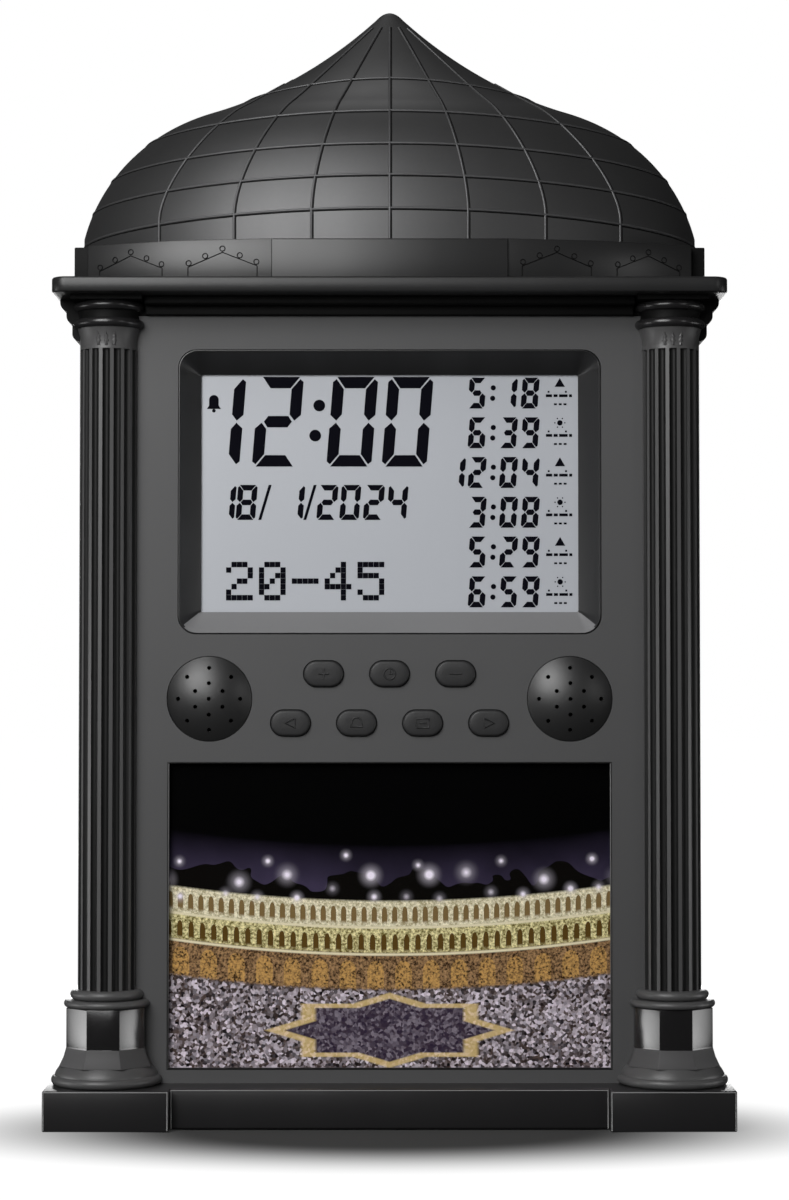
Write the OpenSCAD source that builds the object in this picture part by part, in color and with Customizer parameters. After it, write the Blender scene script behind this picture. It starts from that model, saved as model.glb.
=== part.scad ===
// Mosque-shaped prayer clock: dome, drum, cornice, two fluted half columns, display, keys, picture and plinth.
// Millimetres, +Z up, the front faces -Y. The origin is the middle of the plinth's underside.

/* [Case] */
// Width of the case box between the outer faces of its side walls
case_w = 166.6; // [164:0.2:170]
// Height of the case box above the plinth
case_h = 205.5; // [204:0.5:212]
// Depth from the front panel to the outside of the rear cover
case_d = 46.5; // [45:0.5:52]
// Wall thickness of the moulded shells
wall = 2.4; // [2:0.1:2.8]
// Thickness of the rear cover
cover_t = 2.5; // [2.3:0.1:3.2]
// Gap round pieces that drop into an opening
fit_gap = 0.2; // [0.1:0.05:0.3]

/* [Plinth] */
// Width of the plinth
plinth_w = 181.8; // [180:0.2:190]
// Height of the plinth
plinth_h = 10.6; // [9:0.2:14]
// How far the end blocks stand out in front of the panel
plinth_front = 15.5; // [15:0.5:20]
// Width of each end block
end_block_w = 33.1; // [31:0.1:36]
// How far the centre block is set back behind the end blocks
centre_set_back = 4.5; // [2:0.5:8]
// Thickness of the plate that closes the plinth underneath
base_plate_t = 1.8; // [1.4:0.2:2.6]

/* [Columns] */
// Distance of each column's axis from the middle
column_x = 75.5; // [75:0.1:76]
// Radius of the fluted shaft
shaft_r = 7.65; // [7.2:0.05:7.8]
// Number of flutes round a full shaft
flute_count = 16; // [12:2:18]
// Radius of the cutter of one flute
flute_r = 1.05; // [0.8:0.05:1.2]
// Radius of the lowest ring of the base
foot_r = 14.75; // [13.5:0.05:15]
// Height of the lowest ring
foot_h = 2.6; // [2:0.1:3.2]
// Radius of the second ring of the base
cushion_r = 12.9; // [12:0.1:13.2]
// Height of the second ring
cushion_h = 2.5; // [2:0.1:3]
// Height of the flare between the second ring and the pedestal
flare_h = 4.8; // [3:0.2:7]
// Pedestal width across the flats of its octagon
pedestal_w = 20.7; // [19.4:0.1:21]
// Height of the pedestal above its flare
pedestal_h = 10.6; // [8:0.2:14]
// Radius of the wide ring on the pedestal
collar_r = 11.4; // [11.2:0.1:11.8]
// Height of the wide ring
collar_h = 2; // [1.6:0.1:2.6]
// Radius of the ring under the shaft
shaft_ring_r = 9.75; // [9:0.05:10.4]
// Height of the ring under the shaft
shaft_ring_h = 2.6; // [2:0.1:3.2]
// Height of the capital's bell
bell_h = 5.7; // [4.5:0.1:7]
// Radius of the top of the bell
bell_r = 8.4; // [8.1:0.05:8.8]
// Radius of the two rings of the capital
capital_ring_r = 9.5; // [9.1:0.05:10]
// Height of each ring of the capital
capital_ring_h = 2.6; // [2.2:0.1:3]
// Height of the neck between the two rings
capital_neck_h = 2; // [1.4:0.1:2.6]
// Height of the square block on the capital
abacus_h = 1.2; // [0.8:0.1:2]

/* [Cornice] */
// Width of the top slab
slab_w = 179.2; // [178.8:0.2:184]
// Thickness of the top slab
slab_t = 3.2; // [2.8:0.1:4]
// How far the slab stands out in front of the panel
slab_front = 15; // [14:0.5:17]
// Corner radius of the slab seen from above
slab_r = 4; // [2:0.5:7]
// Height of the band under the slab
band_h = 2.4; // [2:0.1:3]
// How far the band stands out in front of the panel
band_front = 2; // [1:0.1:3]
// Height of the step between the band and the slab
step_h = 2.2; // [1.8:0.1:3]
// How far the step stands out in front of the panel
step_front = 6.5; // [4:0.5:9]
// Heights of the side mouldings from the slab downwards
side_step_h = [3.1, 3.6, 4.4];
// How far each side moulding stands out from the case side
side_step_out = [5.6, 3.9, 2.3];

/* [Drum] */
// Height of the drum on the slab
drum_h = 11.5; // [10:0.5:14]
// How far the drum's middle face stands out in front of the panel
drum_front = 11; // [10:0.5:12]
// Half width of the drum's middle face
drum_face = 31.6; // [28:0.2:34]
// Wall thickness of the drum
drum_wall = 2.2; // [1.8:0.1:2.6]
// Thickness of the blank name plate on the middle face
plaque_t = 0.8; // [0.6:0.1:1.2]

/* [Dome] */
// Greatest half width of the dome at its foot
dome_half_w = 86.9; // [85:0.1:87.2]
// Depth of the dome in front of the rear cover
dome_d = 51; // [46:0.5:51.5]
// Radius of the round bulge of the outline
bulge_r = 49.2; // [47:0.1:49.6]
// Distance of the bulge's centre from the axis
bulge_x = 39.3; // [38:0.1:39.6]
// Height of the bulge's centre above the slab
bulge_z = 6.9; // [5:0.1:9]
// Radius of the hollow neck of the outline
neck_r = 134.5; // [130:0.5:140]
// Distance of the neck's centre from the axis
neck_x = 94.9; // [93:0.1:97]
// Half width of the blunt tip
tip_r = 1.6; // [1.2:0.1:2.4]

/* [Display] */
// Width of the display recess at the panel
recess_w = 113.8; // [112:0.2:116]
// Height of the display recess at the panel
recess_h = 76.7; // [75:0.1:79]
// Corner radius of the recess
recess_r = 5; // [3:0.5:8]
// Distance from the top of the case to the top of the recess
recess_top = 9; // [7:0.5:11]
// Width of the visible display
view_w = 102.2; // [98:0.2:104]
// Height of the visible display
view_h = 64.4; // [62:0.2:66]
// Depth of the sloping walls of the recess
slope_d = 6; // [5:0.2:7]
// Straight edge behind the slope
bezel_land = 0.8; // [0.6:0.1:1.2]
// Thickness of the liquid crystal cell
lcd_t = 2.8; // [2.2:0.1:3]
// Thickness of the white reflector behind the cell
reflector_t = 2.4; // [2:0.1:2.6]

/* [Boards] */
// Thickness of the circuit boards
board_t = 1.6; // [1.4:0.1:2]
// Space behind the liquid crystal cell for its rubber connectors
connector_d = 4.5; // [4.4:0.1:5]

/* [Keys] */
// Length of a key top
key_l = 10.7; // [9.5:0.1:11.5]
// Height of a key top
key_h = 7; // [6:0.1:7.6]
// How far a key stands out of the panel
key_out = 1.1; // [0.8:0.1:1.6]
// Travel of a key
key_travel = 1; // [0.6:0.1:1.2]
// Spacing of the keys along a row
key_pitch = 17.7; // [16.5:0.1:18.5]
// Height of the upper key row above the plinth
key_row_high = 109.2; // [108:0.2:110]
// Height of the lower key row above the plinth
key_row_low = 96; // [95.6:0.2:98]
// Thickness of the flange behind a key top
key_flange_t = 1; // [0.8:0.1:1.4]
// Radius of a key's stem
key_stem_r = 1.6; // [1.2:0.1:2]
// Thickness of the rubber key mat
mat_t = 0.8; // [0.6:0.1:1.2]

/* [Speakers] */
// Distance of each loudspeaker from the middle
speaker_x = 48.3; // [48:0.1:49.5]
// Height of the loudspeakers above the plinth
speaker_up = 102.5; // [101.5:0.1:103]
// Radius of a grille dome
grille_r = 11.3; // [10.8:0.1:12]
// How far a grille dome stands out of the panel
grille_out = 3.2; // [2.4:0.1:4]
// Wall thickness of a grille dome
grille_t = 1.2; // [1:0.1:1.4]
// Radius of one sound hole
sound_hole_r = 0.55; // [0.4:0.05:0.7]
// Radius of the loudspeaker frame
speaker_r = 14; // [13.8:0.1:14.2]
// Depth of a loudspeaker from its rim to its magnet
speaker_d = 9; // [8:0.2:9.4]

/* [Picture] */
// Width of the picture window
picture_w = 119.1; // [115:0.2:121]
// Height of the picture window
picture_h = 82.1; // [78:0.2:83]
// Height of the window's lower edge above the plinth
picture_up = 3.5; // [3.2:0.1:5]
// Overlap of the panel lip over the clear sheet
picture_lip = 1.6; // [1.2:0.1:1.6]
// Thickness of the clear sheet
sheet_t = 1.2; // [1:0.1:1.4]
// Thickness of the printed card
card_t = 0.4; // [0.3:0.05:0.6]
// Thickness of the plate behind the card
backing_t = 2; // [1.6:0.1:2.6]

/* [Batteries] */
// Number of AA cells
cell_count = 3; // [2:1:3]
// Length of a cell
cell_l = 50.2; // [49.5:0.1:50.5]
// Diameter of a cell
cell_d = 14.2; // [13.8:0.1:14.4]
// Space at each end of a cell for its contacts
contact_room = 4; // [3.6:0.1:5]
// Height of the bay's lower edge above the plinth
bay_up = 22; // [18:0.5:30]
// Thickness of the battery door
door_t = 2; // [1.8:0.1:2.1]
// Margin of the door round the bay
door_margin = 2.4; // [2:0.1:3.5]
// Radius of the door's hinge pins
hinge_r = 0.65; // [0.5:0.05:0.7]

/* [Sockets] */
// Distance of the power socket and the volume switch from the middle
socket_x = 45; // [42:0.5:52]
// Height of the power socket and the volume switch above the plinth
socket_up = 100; // [92:1:120]
// Radius of the plug hole in the power socket
plug_r = 2.75; // [2.5:0.05:3]
// Radius of the opening in the rear cover for the plug
plug_hole_r = 4.5; // [4:0.1:5]
// Travel of the volume slider to each side
volume_travel = 2.5; // [2:0.1:3]
// Radius of the round part of the hanging hole
hang_r = 4.5; // [4:0.1:5]
// Radius of the slot of the hanging hole
hang_slot_r = 2; // [1.6:0.1:2.2]
// Height of the hanging hole above the plinth
hang_up = 175; // [170:1:180]

/* [Screws] */
// Radius of a screw's thread
screw_r = 1.5; // [1.2:0.05:1.6]
// Radius of a screw's head
head_r = 2.8; // [2.4:0.1:3]
// Height of a screw's head
head_h = 1.6; // [1.4:0.1:1.8]
// Radius of a screw boss
boss_r = 3.6; // [3.4:0.1:4]
// Radius of a small screw's thread
small_screw_r = 1; // [0.8:0.05:1.2]
// Radius of a small screw's head
small_head_r = 1.9; // [1.7:0.1:2.1]

/* [Hidden] */
eps = 0.01;
$fn = 48;

// Depths, front to back
plinth_d = plinth_front + case_d;
y_back = plinth_d / 2;
y_front = -plinth_d / 2;
panel_y = y_back - case_d;
panel_in = panel_y + wall;
cover_y = y_back - cover_t;
bezel_back = panel_y + slope_d + bezel_land;
lcd_back = bezel_back + lcd_t;
board_y = lcd_back + connector_d;
board_back = board_y + board_t;

// Heights
case_top = plinth_h + case_h;
slab_z = case_top + band_h + step_h;
slab_top = slab_z + slab_t;
recess_z = case_top - recess_top - recess_h / 2;
picture_z = plinth_h + picture_up + picture_h / 2;
key_z_high = plinth_h + key_row_high;
key_z_low = plinth_h + key_row_low;
speaker_z = plinth_h + speaker_up;
socket_z = plinth_h + socket_up;
hang_z = plinth_h + hang_up;

// Screw places
case_side = case_w / 2;
boss_x = case_side - wall - boss_r - 1.2;
case_boss_z = [plinth_h + 14, plinth_h + 186];
dome_boss_x = 40;
dome_boss_z = slab_top + 22;
tie_x = 55;
tie_y = cover_y - 18;
plinth_screw_x = case_side - wall - 2 * boss_r - 10;
plinth_screw_y = [panel_y + 12, cover_y - 8];
pilot_r = screw_r - 0.15;
column_screw_z = [plinth_h + 50, plinth_h + 170];
boss_gap = 0.3;

// A 2D child in the X-Z plane, made solid from y0 to y1
module slab_y(y0, y1) {
    translate([0, y1, 0])
        rotate([90, 0, 0])
            linear_extrude(y1 - y0)
                children();
}

// A round bar along Y
module rod_y(x, z, y0, y1, r) {
    translate([x, y0, z])
        rotate([-90, 0, 0])
            cylinder(h = y1 - y0, r = r);
}

// A screw whose head sits at y0 and whose thread runs towards dir along Y
module screw_y(x, y0, z, thread_l, dir, thread_r, s_head_r, s_head_h) {
    translate([x, y0, z])
        rotate([dir > 0 ? -90 : 90, 0, 0]) {
            cylinder(h = thread_l, r = thread_r);
            translate([0, 0, -s_head_h])
                difference() {
                    cylinder(h = s_head_h, r = s_head_r);
                    for (turn = [0, 90])
                        rotate(turn)
                            translate([-s_head_r * 0.6, -s_head_r * 0.12, -eps])
                                cube([s_head_r * 1.2, s_head_r * 0.24, s_head_h * 0.5]);
                }
        }
}

// A rectangle with round corners, centred
module round_rect(w, h, r) {
    square([w - 2 * r, h], center = true);
    square([w, h - 2 * r], center = true);
    for (sx = [-1, 1])
        for (sy = [-1, 1])
            translate([sx * (w / 2 - r), sy * (h / 2 - r)])
                circle(r);
}

// A pill outline, centred
module pill(w, h) {
    square([w - h, h], center = true);
    for (s = [-1, 1])
        translate([s * (w - h) / 2, 0])
            circle(h / 2);
}

// ---------------------------------------------------------------- case

// Key places: three in the upper row, four in the lower row
key_places = concat(
    [for (i = [-1:1]) [i * key_pitch, key_z_high]],
    [for (i = [0:3]) [(i - 1.5) * key_pitch, key_z_low]]
);

speaker_places = [[-speaker_x, speaker_z], [speaker_x, speaker_z]];

// Board screw places, on the main board and on the key board
post_r = 1.8;
main_board_w = recess_w + 3 + 2 * (post_r + 0.4) + 6.4;
main_board_z0 = key_z_high + key_h / 2 + 8.5;
main_board_z1 = recess_z + recess_h / 2 + 1.5;
key_board_w = 62;
key_board_z0 = key_z_low - key_h / 2 - 3.2;
key_board_z1 = main_board_z0 - 2.4;
main_board_places = [
    for (sx = [-1, 1])
        for (z = [main_board_z0 + 3, main_board_z1 - 3])
            [sx * (main_board_w / 2 - 3.2), z]
];
key_board_places = concat(
    [for (sx = [-1, 1]) [sx * (key_board_w / 2 - 3), key_z_high + key_h / 2 + 0.4]],
    [for (sx = [-1, 1]) [sx * key_pitch, key_z_low]]
);
board_screw_places = concat(main_board_places, key_board_places);

// Two ears of each retainer, the inner one higher than the outer one
retainer_reach = speaker_r + 2.6;
retainer_tilt = 20;
retainer_places = [
    for (side = [-1, 1])
        for (s = [-1, 1])
            [
                side * (speaker_x - s * retainer_reach * cos(retainer_tilt)),
                speaker_z + s * retainer_reach * sin(retainer_tilt)
            ]
];

speaker_rim_t = 1.4;
speaker_y = panel_in + 1.2;

// Screws of the plate behind the picture
backing_w = picture_w + 12.8;
backing_screw_places = [
    for (sx = [-1, 1])
        for (sz = [-1, 1])
            [sx * (backing_w / 2 - 2), picture_z + sz * picture_h * 0.38]
];

module front_housing() {
    color([0.31, 0.31, 0.31])
        difference() {
            union() {
                difference() {
                    slab_y(panel_y, cover_y)
                        translate([-case_side, plinth_h])
                            square([case_w, case_h]);
                    slab_y(panel_in, cover_y + 1)
                        translate([-case_side + wall, plinth_h + wall])
                            square([case_w - 2 * wall, case_h - 2 * wall]);
                }
                for (sx = [-1, 1]) {
                    for (z = case_boss_z)
                        rod_y(sx * boss_x, z, panel_in - eps, cover_y, boss_r);
                    for (y = plinth_screw_y)
                        translate([sx * plinth_screw_x, y, plinth_h + wall - eps])
                            cylinder(h = 9, r = boss_r);
                }
                for (p = board_screw_places)
                    rod_y(p[0], p[1], panel_in - eps, board_y, post_r);
                for (p = backing_screw_places)
                    rod_y(p[0], p[1], panel_in - eps, panel_in + card_t, post_r);
                for (p = retainer_places)
                    rod_y(p[0], p[1], panel_in - eps, speaker_y + speaker_rim_t, post_r);
            }
            // display, keys, loudspeakers, picture
            slab_y(panel_y - 1, panel_in + 1)
                translate([0, recess_z])
                    round_rect(recess_w, recess_h, recess_r);
            for (p = key_places)
                slab_y(panel_y - 1, panel_in + 1)
                    translate(p)
                        pill(key_l + 2 * fit_gap, key_h + 2 * fit_gap);
            for (p = speaker_places)
                rod_y(p[0], p[1], panel_y - 1, panel_in + 1, grille_r + fit_gap);
            slab_y(panel_y - 1, panel_in + 1)
                translate([0, picture_z])
                    square([picture_w, picture_h], center = true);
            slab_y(panel_in - sheet_t, panel_in + 1)
                translate([0, picture_z])
                    square([picture_w + 2 * picture_lip, picture_h + 2 * picture_lip], center = true);
            // pilot holes
            for (sx = [-1, 1]) {
                for (z = case_boss_z)
                    rod_y(sx * boss_x, z, cover_y - 14, cover_y + 1, pilot_r);
                for (y = plinth_screw_y)
                    translate([sx * plinth_screw_x, y, plinth_h - 1])
                        cylinder(h = wall + 9, r = pilot_r);
                for (z = column_screw_z)
                    rod_y(sx * column_x, z, panel_y - 1, panel_in + 1, screw_r + boss_gap);
                translate([sx * tie_x, tie_y, case_top - wall - 1])
                    cylinder(h = wall + 2, r = screw_r + boss_gap);
            }
            for (p = board_screw_places)
                rod_y(p[0], p[1], panel_in + 2, board_y + 1, small_screw_r - 0.1);
            for (p = retainer_places)
                rod_y(p[0], p[1], panel_in, speaker_y + speaker_rim_t + 1, small_screw_r - 0.1);
            for (p = backing_screw_places)
                rod_y(p[0], p[1], panel_in - wall * 0.6, panel_in + card_t + 1, small_screw_r - 0.1);
        }
}

// The sloping frame of the display recess
module lcd_bezel() {
    color([0.33, 0.33, 0.33])
        difference() {
            union() {
                slab_y(panel_y, panel_in)
                    translate([0, recess_z])
                        round_rect(recess_w - 2 * fit_gap, recess_h - 2 * fit_gap, recess_r);
                slab_y(panel_in, bezel_back)
                    translate([0, recess_z])
                        round_rect(recess_w + 3, recess_h + 3, 2);
            }
            hull() {
                slab_y(panel_y - eps, panel_y)
                    translate([0, recess_z])
                        round_rect(recess_w - 1.2, recess_h - 1.2, recess_r - 0.4, $fn = 32);
                slab_y(panel_y + slope_d, panel_y + slope_d + eps)
                    translate([0, recess_z])
                        round_rect(view_w, view_h, 1, $fn = 32);
            }
            slab_y(panel_y + slope_d - eps, bezel_back + 1)
                translate([0, recess_z])
                    square([view_w, view_h], center = true);
        }
}

// ---------------------------------------------------------------- display stack

lcd_w = view_w + 8;
lcd_h = view_h + 7;

module lcd_glass() {
    color([0.68, 0.69, 0.72])
        slab_y(bezel_back, lcd_back)
            translate([0, recess_z])
                square([lcd_w, lcd_h], center = true);
}

module lcd_reflector() {
    color([0.92, 0.92, 0.9])
        slab_y(lcd_back, lcd_back + reflector_t)
            translate([0, recess_z])
                square([lcd_w - 2, lcd_h - 7], center = true);
}

// Two rubber strips carry the contacts from the board to the cell
module lcd_connectors() {
    color([0.15, 0.15, 0.17])
        for (s = [-1, 1])
            slab_y(lcd_back, board_y)
                translate([0, recess_z + s * (lcd_h / 2 - 1.6)])
                    square([lcd_w - 6, 2.2], center = true);
}

module main_board() {
    color([0.12, 0.35, 0.2])
        difference() {
            slab_y(board_y, board_back)
                translate([-main_board_w / 2, main_board_z0])
                    square([main_board_w, main_board_z1 - main_board_z0]);
            for (p = main_board_places)
                rod_y(p[0], p[1], board_y - 1, board_back + 1, small_screw_r + fit_gap);
        }
}

module main_board_parts() {
    mid_z = (main_board_z0 + main_board_z1) / 2;
    color([0.1, 0.1, 0.1]) {
        // controller, voice memory and amplifier
        translate([-9, board_back, mid_z - 9])
            cube([18, 2.2, 18]);
        translate([22, board_back, mid_z + 4])
            cube([10, 1.8, 6]);
        translate([-36, board_back, mid_z - 22])
            cube([8, 1.8, 6]);
        // crystal and two capacitors
        translate([18, board_back, mid_z - 12])
            cube([8, 3, 3]);
        for (x = [-34, -25])
            rod_y(x, mid_z + 14, board_back, board_back + 9, 3);
    }
}

// ---------------------------------------------------------------- keys

mat_y = board_y - mat_t;
stem_tip = mat_y - key_travel - 0.3;

module key_board() {
    color([0.12, 0.35, 0.2])
        difference() {
            slab_y(board_y, board_back)
                translate([-key_board_w / 2, key_board_z0])
                    square([key_board_w, key_board_z1 - key_board_z0]);
            for (p = key_board_places)
                rod_y(p[0], p[1], board_y - 1, board_back + 1, small_screw_r + fit_gap);
        }
}

// A rubber sheet with a guiding collar round each stem
module key_mat() {
    collar_r_out = key_stem_r + 1.6;
    color([0.25, 0.25, 0.27])
        difference() {
            union() {
                slab_y(mat_y, board_y)
                    translate([0, (key_z_high + key_z_low) / 2])
                        square([key_board_w - 1, key_z_high - key_z_low + key_h + 1], center = true);
                for (p = key_places)
                    rod_y(p[0], p[1], mat_y - key_travel - 1.4, mat_y + eps, collar_r_out);
            }
            for (p = key_places)
                rod_y(p[0], p[1], mat_y - key_travel - 2, mat_y, key_stem_r + 0.3);
            for (p = key_board_places)
                rod_y(p[0], p[1], mat_y - 3, board_y + 1, post_r + 0.3);
        }
}

module key(i) {
    p = key_places[i];
    color([0.3, 0.3, 0.3]) {
        slab_y(panel_y - key_out, panel_in + eps)
            translate(p)
                pill(key_l, key_h);
        slab_y(panel_in, panel_in + key_flange_t)
            translate(p)
                pill(key_l + 2.6, key_h + 2.6);
        rod_y(p[0], p[1], panel_in + key_flange_t - eps, stem_tip, key_stem_r);
    }
}

// Flat cable between the two boards
module board_ribbon() {
    ribbon_w = 16;
    ribbon_t = 0.3;
    color([0.85, 0.85, 0.8])
        translate([-ribbon_w / 2, 0, 0])
            rotate([90, 0, 90])
                linear_extrude(ribbon_w)
                    polygon([
                        [board_back, main_board_z0 + 6],
                        [board_back + ribbon_t, main_board_z0 + 6],
                        [board_back + 2.2, main_board_z0 + 1],
                        [board_back + 2.2, key_board_z1 - 1],
                        [board_back + ribbon_t, key_board_z1 - 6],
                        [board_back, key_board_z1 - 6],
                        [board_back, key_board_z1 - 5],
                        [board_back + 2.2 - ribbon_t, key_board_z1 - 1 + 1],
                        [board_back + 2.2 - ribbon_t, main_board_z0],
                        [board_back, main_board_z0 + 5]
                    ]);
}

// ---------------------------------------------------------------- loudspeakers

grille_sphere_r = (grille_r * grille_r + grille_out * grille_out) / (2 * grille_out);

// Sound holes: one in the middle and two rings
sound_rings = [[1, 0], [6, 4.2], [8, 8.3]];

module grille(x) {
    color([0.2, 0.2, 0.2])
        difference() {
            union() {
                intersection() {
                    translate([x, panel_y - grille_out + grille_sphere_r, speaker_z])
                        difference() {
                            sphere(grille_sphere_r, $fn = 96);
                            sphere(grille_sphere_r - grille_t, $fn = 96);
                        }
                    rod_y(x, speaker_z, panel_y - grille_out - 1, panel_y + eps, grille_r);
                }
                difference() {
                    rod_y(x, speaker_z, panel_y, panel_in + eps, grille_r);
                    rod_y(x, speaker_z, panel_y - 1, panel_in + 1, grille_r - 2.6);
                }
                difference() {
                    rod_y(x, speaker_z, panel_in, speaker_y, speaker_r);
                    rod_y(x, speaker_z, panel_in - 1, speaker_y + 1, grille_r - 2.6);
                }
            }
            for (ring = sound_rings)
                for (i = [0:ring[0] - 1]) {
                    a = (i + (ring[0] == 6 ? 0.5 : 0)) * 360 / ring[0];
                    rod_y(
                        x + ring[1] * cos(a), speaker_z + ring[1] * sin(a),
                        panel_y - grille_out - 1, panel_y + 1, sound_hole_r
                    );
                }
        }
}

module speaker_frames() {
    color([0.3, 0.3, 0.32])
        for (p = speaker_places)
            translate([p[0], speaker_y, p[1]])
                rotate([-90, 0, 0])
                    difference() {
                        union() {
                            cylinder(h = speaker_rim_t, r = speaker_r);
                            cylinder(h = speaker_d - 4, r1 = speaker_r - 1.4, r2 = 9);
                        }
                        translate([0, 0, -eps])
                            cylinder(h = speaker_d - 5, r1 = speaker_r - 2.4, r2 = 7.8);
                    }
}

module speaker_cones() {
    color([0.12, 0.12, 0.12])
        for (p = speaker_places)
            translate([p[0], speaker_y + 0.2, p[1]])
                rotate([-90, 0, 0])
                    difference() {
                        cylinder(h = speaker_d - 5.4, r1 = speaker_r - 2.8, r2 = 6);
                        translate([0, 0, -eps])
                            cylinder(h = speaker_d - 6.2, r1 = speaker_r - 3.4, r2 = 5.4);
                    }
}

module speaker_magnets() {
    color([0.35, 0.35, 0.37])
        for (p = speaker_places)
            rod_y(p[0], p[1], speaker_y + speaker_d - 4, speaker_y + speaker_d, 8);
}

// A flat ring with two ears holds each loudspeaker against its grille
module speaker_retainers() {
    ring_y = speaker_y + speaker_rim_t;
    color([0.5, 0.5, 0.52])
        difference() {
            union() {
                for (p = speaker_places)
                    rod_y(p[0], p[1], ring_y, ring_y + 1, speaker_r);
                for (p = retainer_places)
                    rod_y(p[0], p[1], ring_y, ring_y + 1, 3);
            }
            for (p = speaker_places)
                rod_y(p[0], p[1], ring_y - 1, ring_y + 2, speaker_r - 1.2);
            for (p = retainer_places)
                rod_y(p[0], p[1], ring_y - 1, ring_y + 2, small_screw_r + fit_gap);
        }
}

// ---------------------------------------------------------------- picture

sheet_w = picture_w + 2 * picture_lip - 2 * fit_gap;
sheet_h = picture_h + 2 * picture_lip - 2 * fit_gap;
sheet_y = panel_in - sheet_t;

module picture_window() {
    color([0.85, 0.87, 0.9, 0.4])
        slab_y(sheet_y, panel_in)
            translate([0, picture_z])
                square([sheet_w, sheet_h], center = true);
}

module picture_card() {
    color([0.45, 0.35, 0.25])
        slab_y(panel_in, panel_in + card_t)
            translate([0, picture_z])
                square([sheet_w, picture_h], center = true);
}

module picture_backing() {
    color([0.8, 0.8, 0.78])
        difference() {
            slab_y(panel_in + card_t, panel_in + card_t + backing_t)
                translate([0, picture_z])
                    square([backing_w, picture_h], center = true);
            for (p = backing_screw_places)
                rod_y(p[0], p[1], panel_in, panel_in + card_t + backing_t + 1, small_screw_r + fit_gap);
        }
}

// ---------------------------------------------------------------- columns

// A ring with a half-round rim, as a 2D profile that starts at the axis
module rim_profile(r, z, h) {
    translate([0, z])
        square([r - h / 2, h]);
    translate([r - h / 2, z + h / 2])
        intersection() {
            circle(h / 2);
            translate([0, -h / 2])
                square([h / 2, h]);
        }
}

foot_z = plinth_h;
cushion_z = foot_z + foot_h;
flare_z = cushion_z + cushion_h;
pedestal_z = flare_z + flare_h;
collar_z = pedestal_z + pedestal_h;
shaft_ring_z = collar_z + collar_h;
shaft_z = shaft_ring_z + shaft_ring_h;
abacus_z = slab_z - abacus_h;
high_ring_z = abacus_z - capital_ring_h;
low_ring_z = high_ring_z - capital_neck_h - capital_ring_h;
bell_z = low_ring_z - bell_h;
octagon_r = pedestal_w / 2 / cos(22.5);
flare_foot_r = cushion_r - 0.7;

// Rings of a column: radius, height of the underside, thickness
column_rings = [
    [foot_r, foot_z, foot_h],
    [cushion_r, cushion_z, cushion_h],
    [collar_r, collar_z, collar_h],
    [shaft_ring_r, shaft_ring_z, shaft_ring_h],
    [capital_ring_r, low_ring_z, capital_ring_h],
    [capital_ring_r, high_ring_z, capital_ring_h]
];

module half_round(x) {
    translate([x, panel_y, 0])
        rotate(180)
            rotate_extrude(angle = 180)
                children();
}

// Outline of the base mouldings where they run back along the case side
module side_profile() {
    for (i = [0:3])
        rim_profile(column_rings[i][0], column_rings[i][1], column_rings[i][2]);
    polygon([
        [0, flare_z],
        [flare_foot_r, flare_z],
        [pedestal_w / 2, pedestal_z],
        [pedestal_w / 2, collar_z],
        [0, collar_z]
    ]);
}

module column(side) {
    x = side * column_x;
    return_gap = case_side - column_x + 0.05;
    color([0.16, 0.16, 0.16])
        difference() {
            union() {
                half_round(x)
                    for (ring = column_rings)
                        rim_profile(ring[0], ring[1], ring[2]);
                half_round(x)
                    polygon([
                        [0, bell_z],
                        [shaft_r, bell_z],
                        [shaft_r + 0.15, bell_z + bell_h * 0.5],
                        [bell_r, low_ring_z],
                        [0, low_ring_z]
                    ]);
                half_round(x)
                    translate([0, low_ring_z + capital_ring_h])
                        square([bell_r - 0.2, capital_neck_h]);
                // fluted shaft
                intersection() {
                    translate([x, panel_y, shaft_z])
                        linear_extrude(bell_z - shaft_z)
                            difference() {
                                circle(shaft_r);
                                for (i = [0:flute_count - 1])
                                    rotate(i * 360 / flute_count)
                                        translate([shaft_r + 0.25, 0])
                                            circle(flute_r);
                            }
                    translate([x - 20, panel_y - 20, shaft_z])
                        cube([40, 20, bell_z - shaft_z]);
                }
                // pedestal and flare, octagons cut by the panel plane
                intersection() {
                    union() {
                        translate([x, panel_y, pedestal_z])
                            rotate(22.5)
                                cylinder(h = pedestal_h, r = octagon_r, $fn = 8);
                        translate([x, panel_y, flare_z])
                            rotate(22.5)
                                cylinder(
                                    h = flare_h,
                                    r1 = flare_foot_r / cos(22.5),
                                    r2 = octagon_r,
                                    $fn = 8
                                );
                    }
                    translate([x - 20, panel_y - 20, flare_z])
                        cube([40, 20, flare_h + pedestal_h]);
                }
                // square block under the slab
                translate([x - capital_ring_r, panel_y - capital_ring_r, abacus_z])
                    cube([2 * capital_ring_r, capital_ring_r, abacus_h]);
                // base mouldings that run back along the case side
                translate([x, cover_y, 0])
                    scale([side, 1, 1])
                        rotate([90, 0, 0])
                            linear_extrude(cover_y - panel_y)
                                intersection() {
                                    side_profile();
                                    translate([return_gap, 0])
                                        square([20, shaft_z + 1]);
                                }
            }
            for (z = column_screw_z)
                rod_y(x, z, panel_y - 5, panel_y + 1, pilot_r);
        }
}

// ---------------------------------------------------------------- plinth

plinth_side = plinth_w / 2;
block_in = plinth_side - end_block_w;

module plinth_outline(inset) {
    polygon([
        [-plinth_side + inset, y_back - inset],
        [-plinth_side + inset, y_front + inset],
        [-block_in - inset, y_front + inset],
        [-block_in - inset, y_front + centre_set_back + inset],
        [block_in + inset, y_front + centre_set_back + inset],
        [block_in + inset, y_front + inset],
        [plinth_side - inset, y_front + inset],
        [plinth_side - inset, y_back - inset]
    ]);
}

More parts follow.
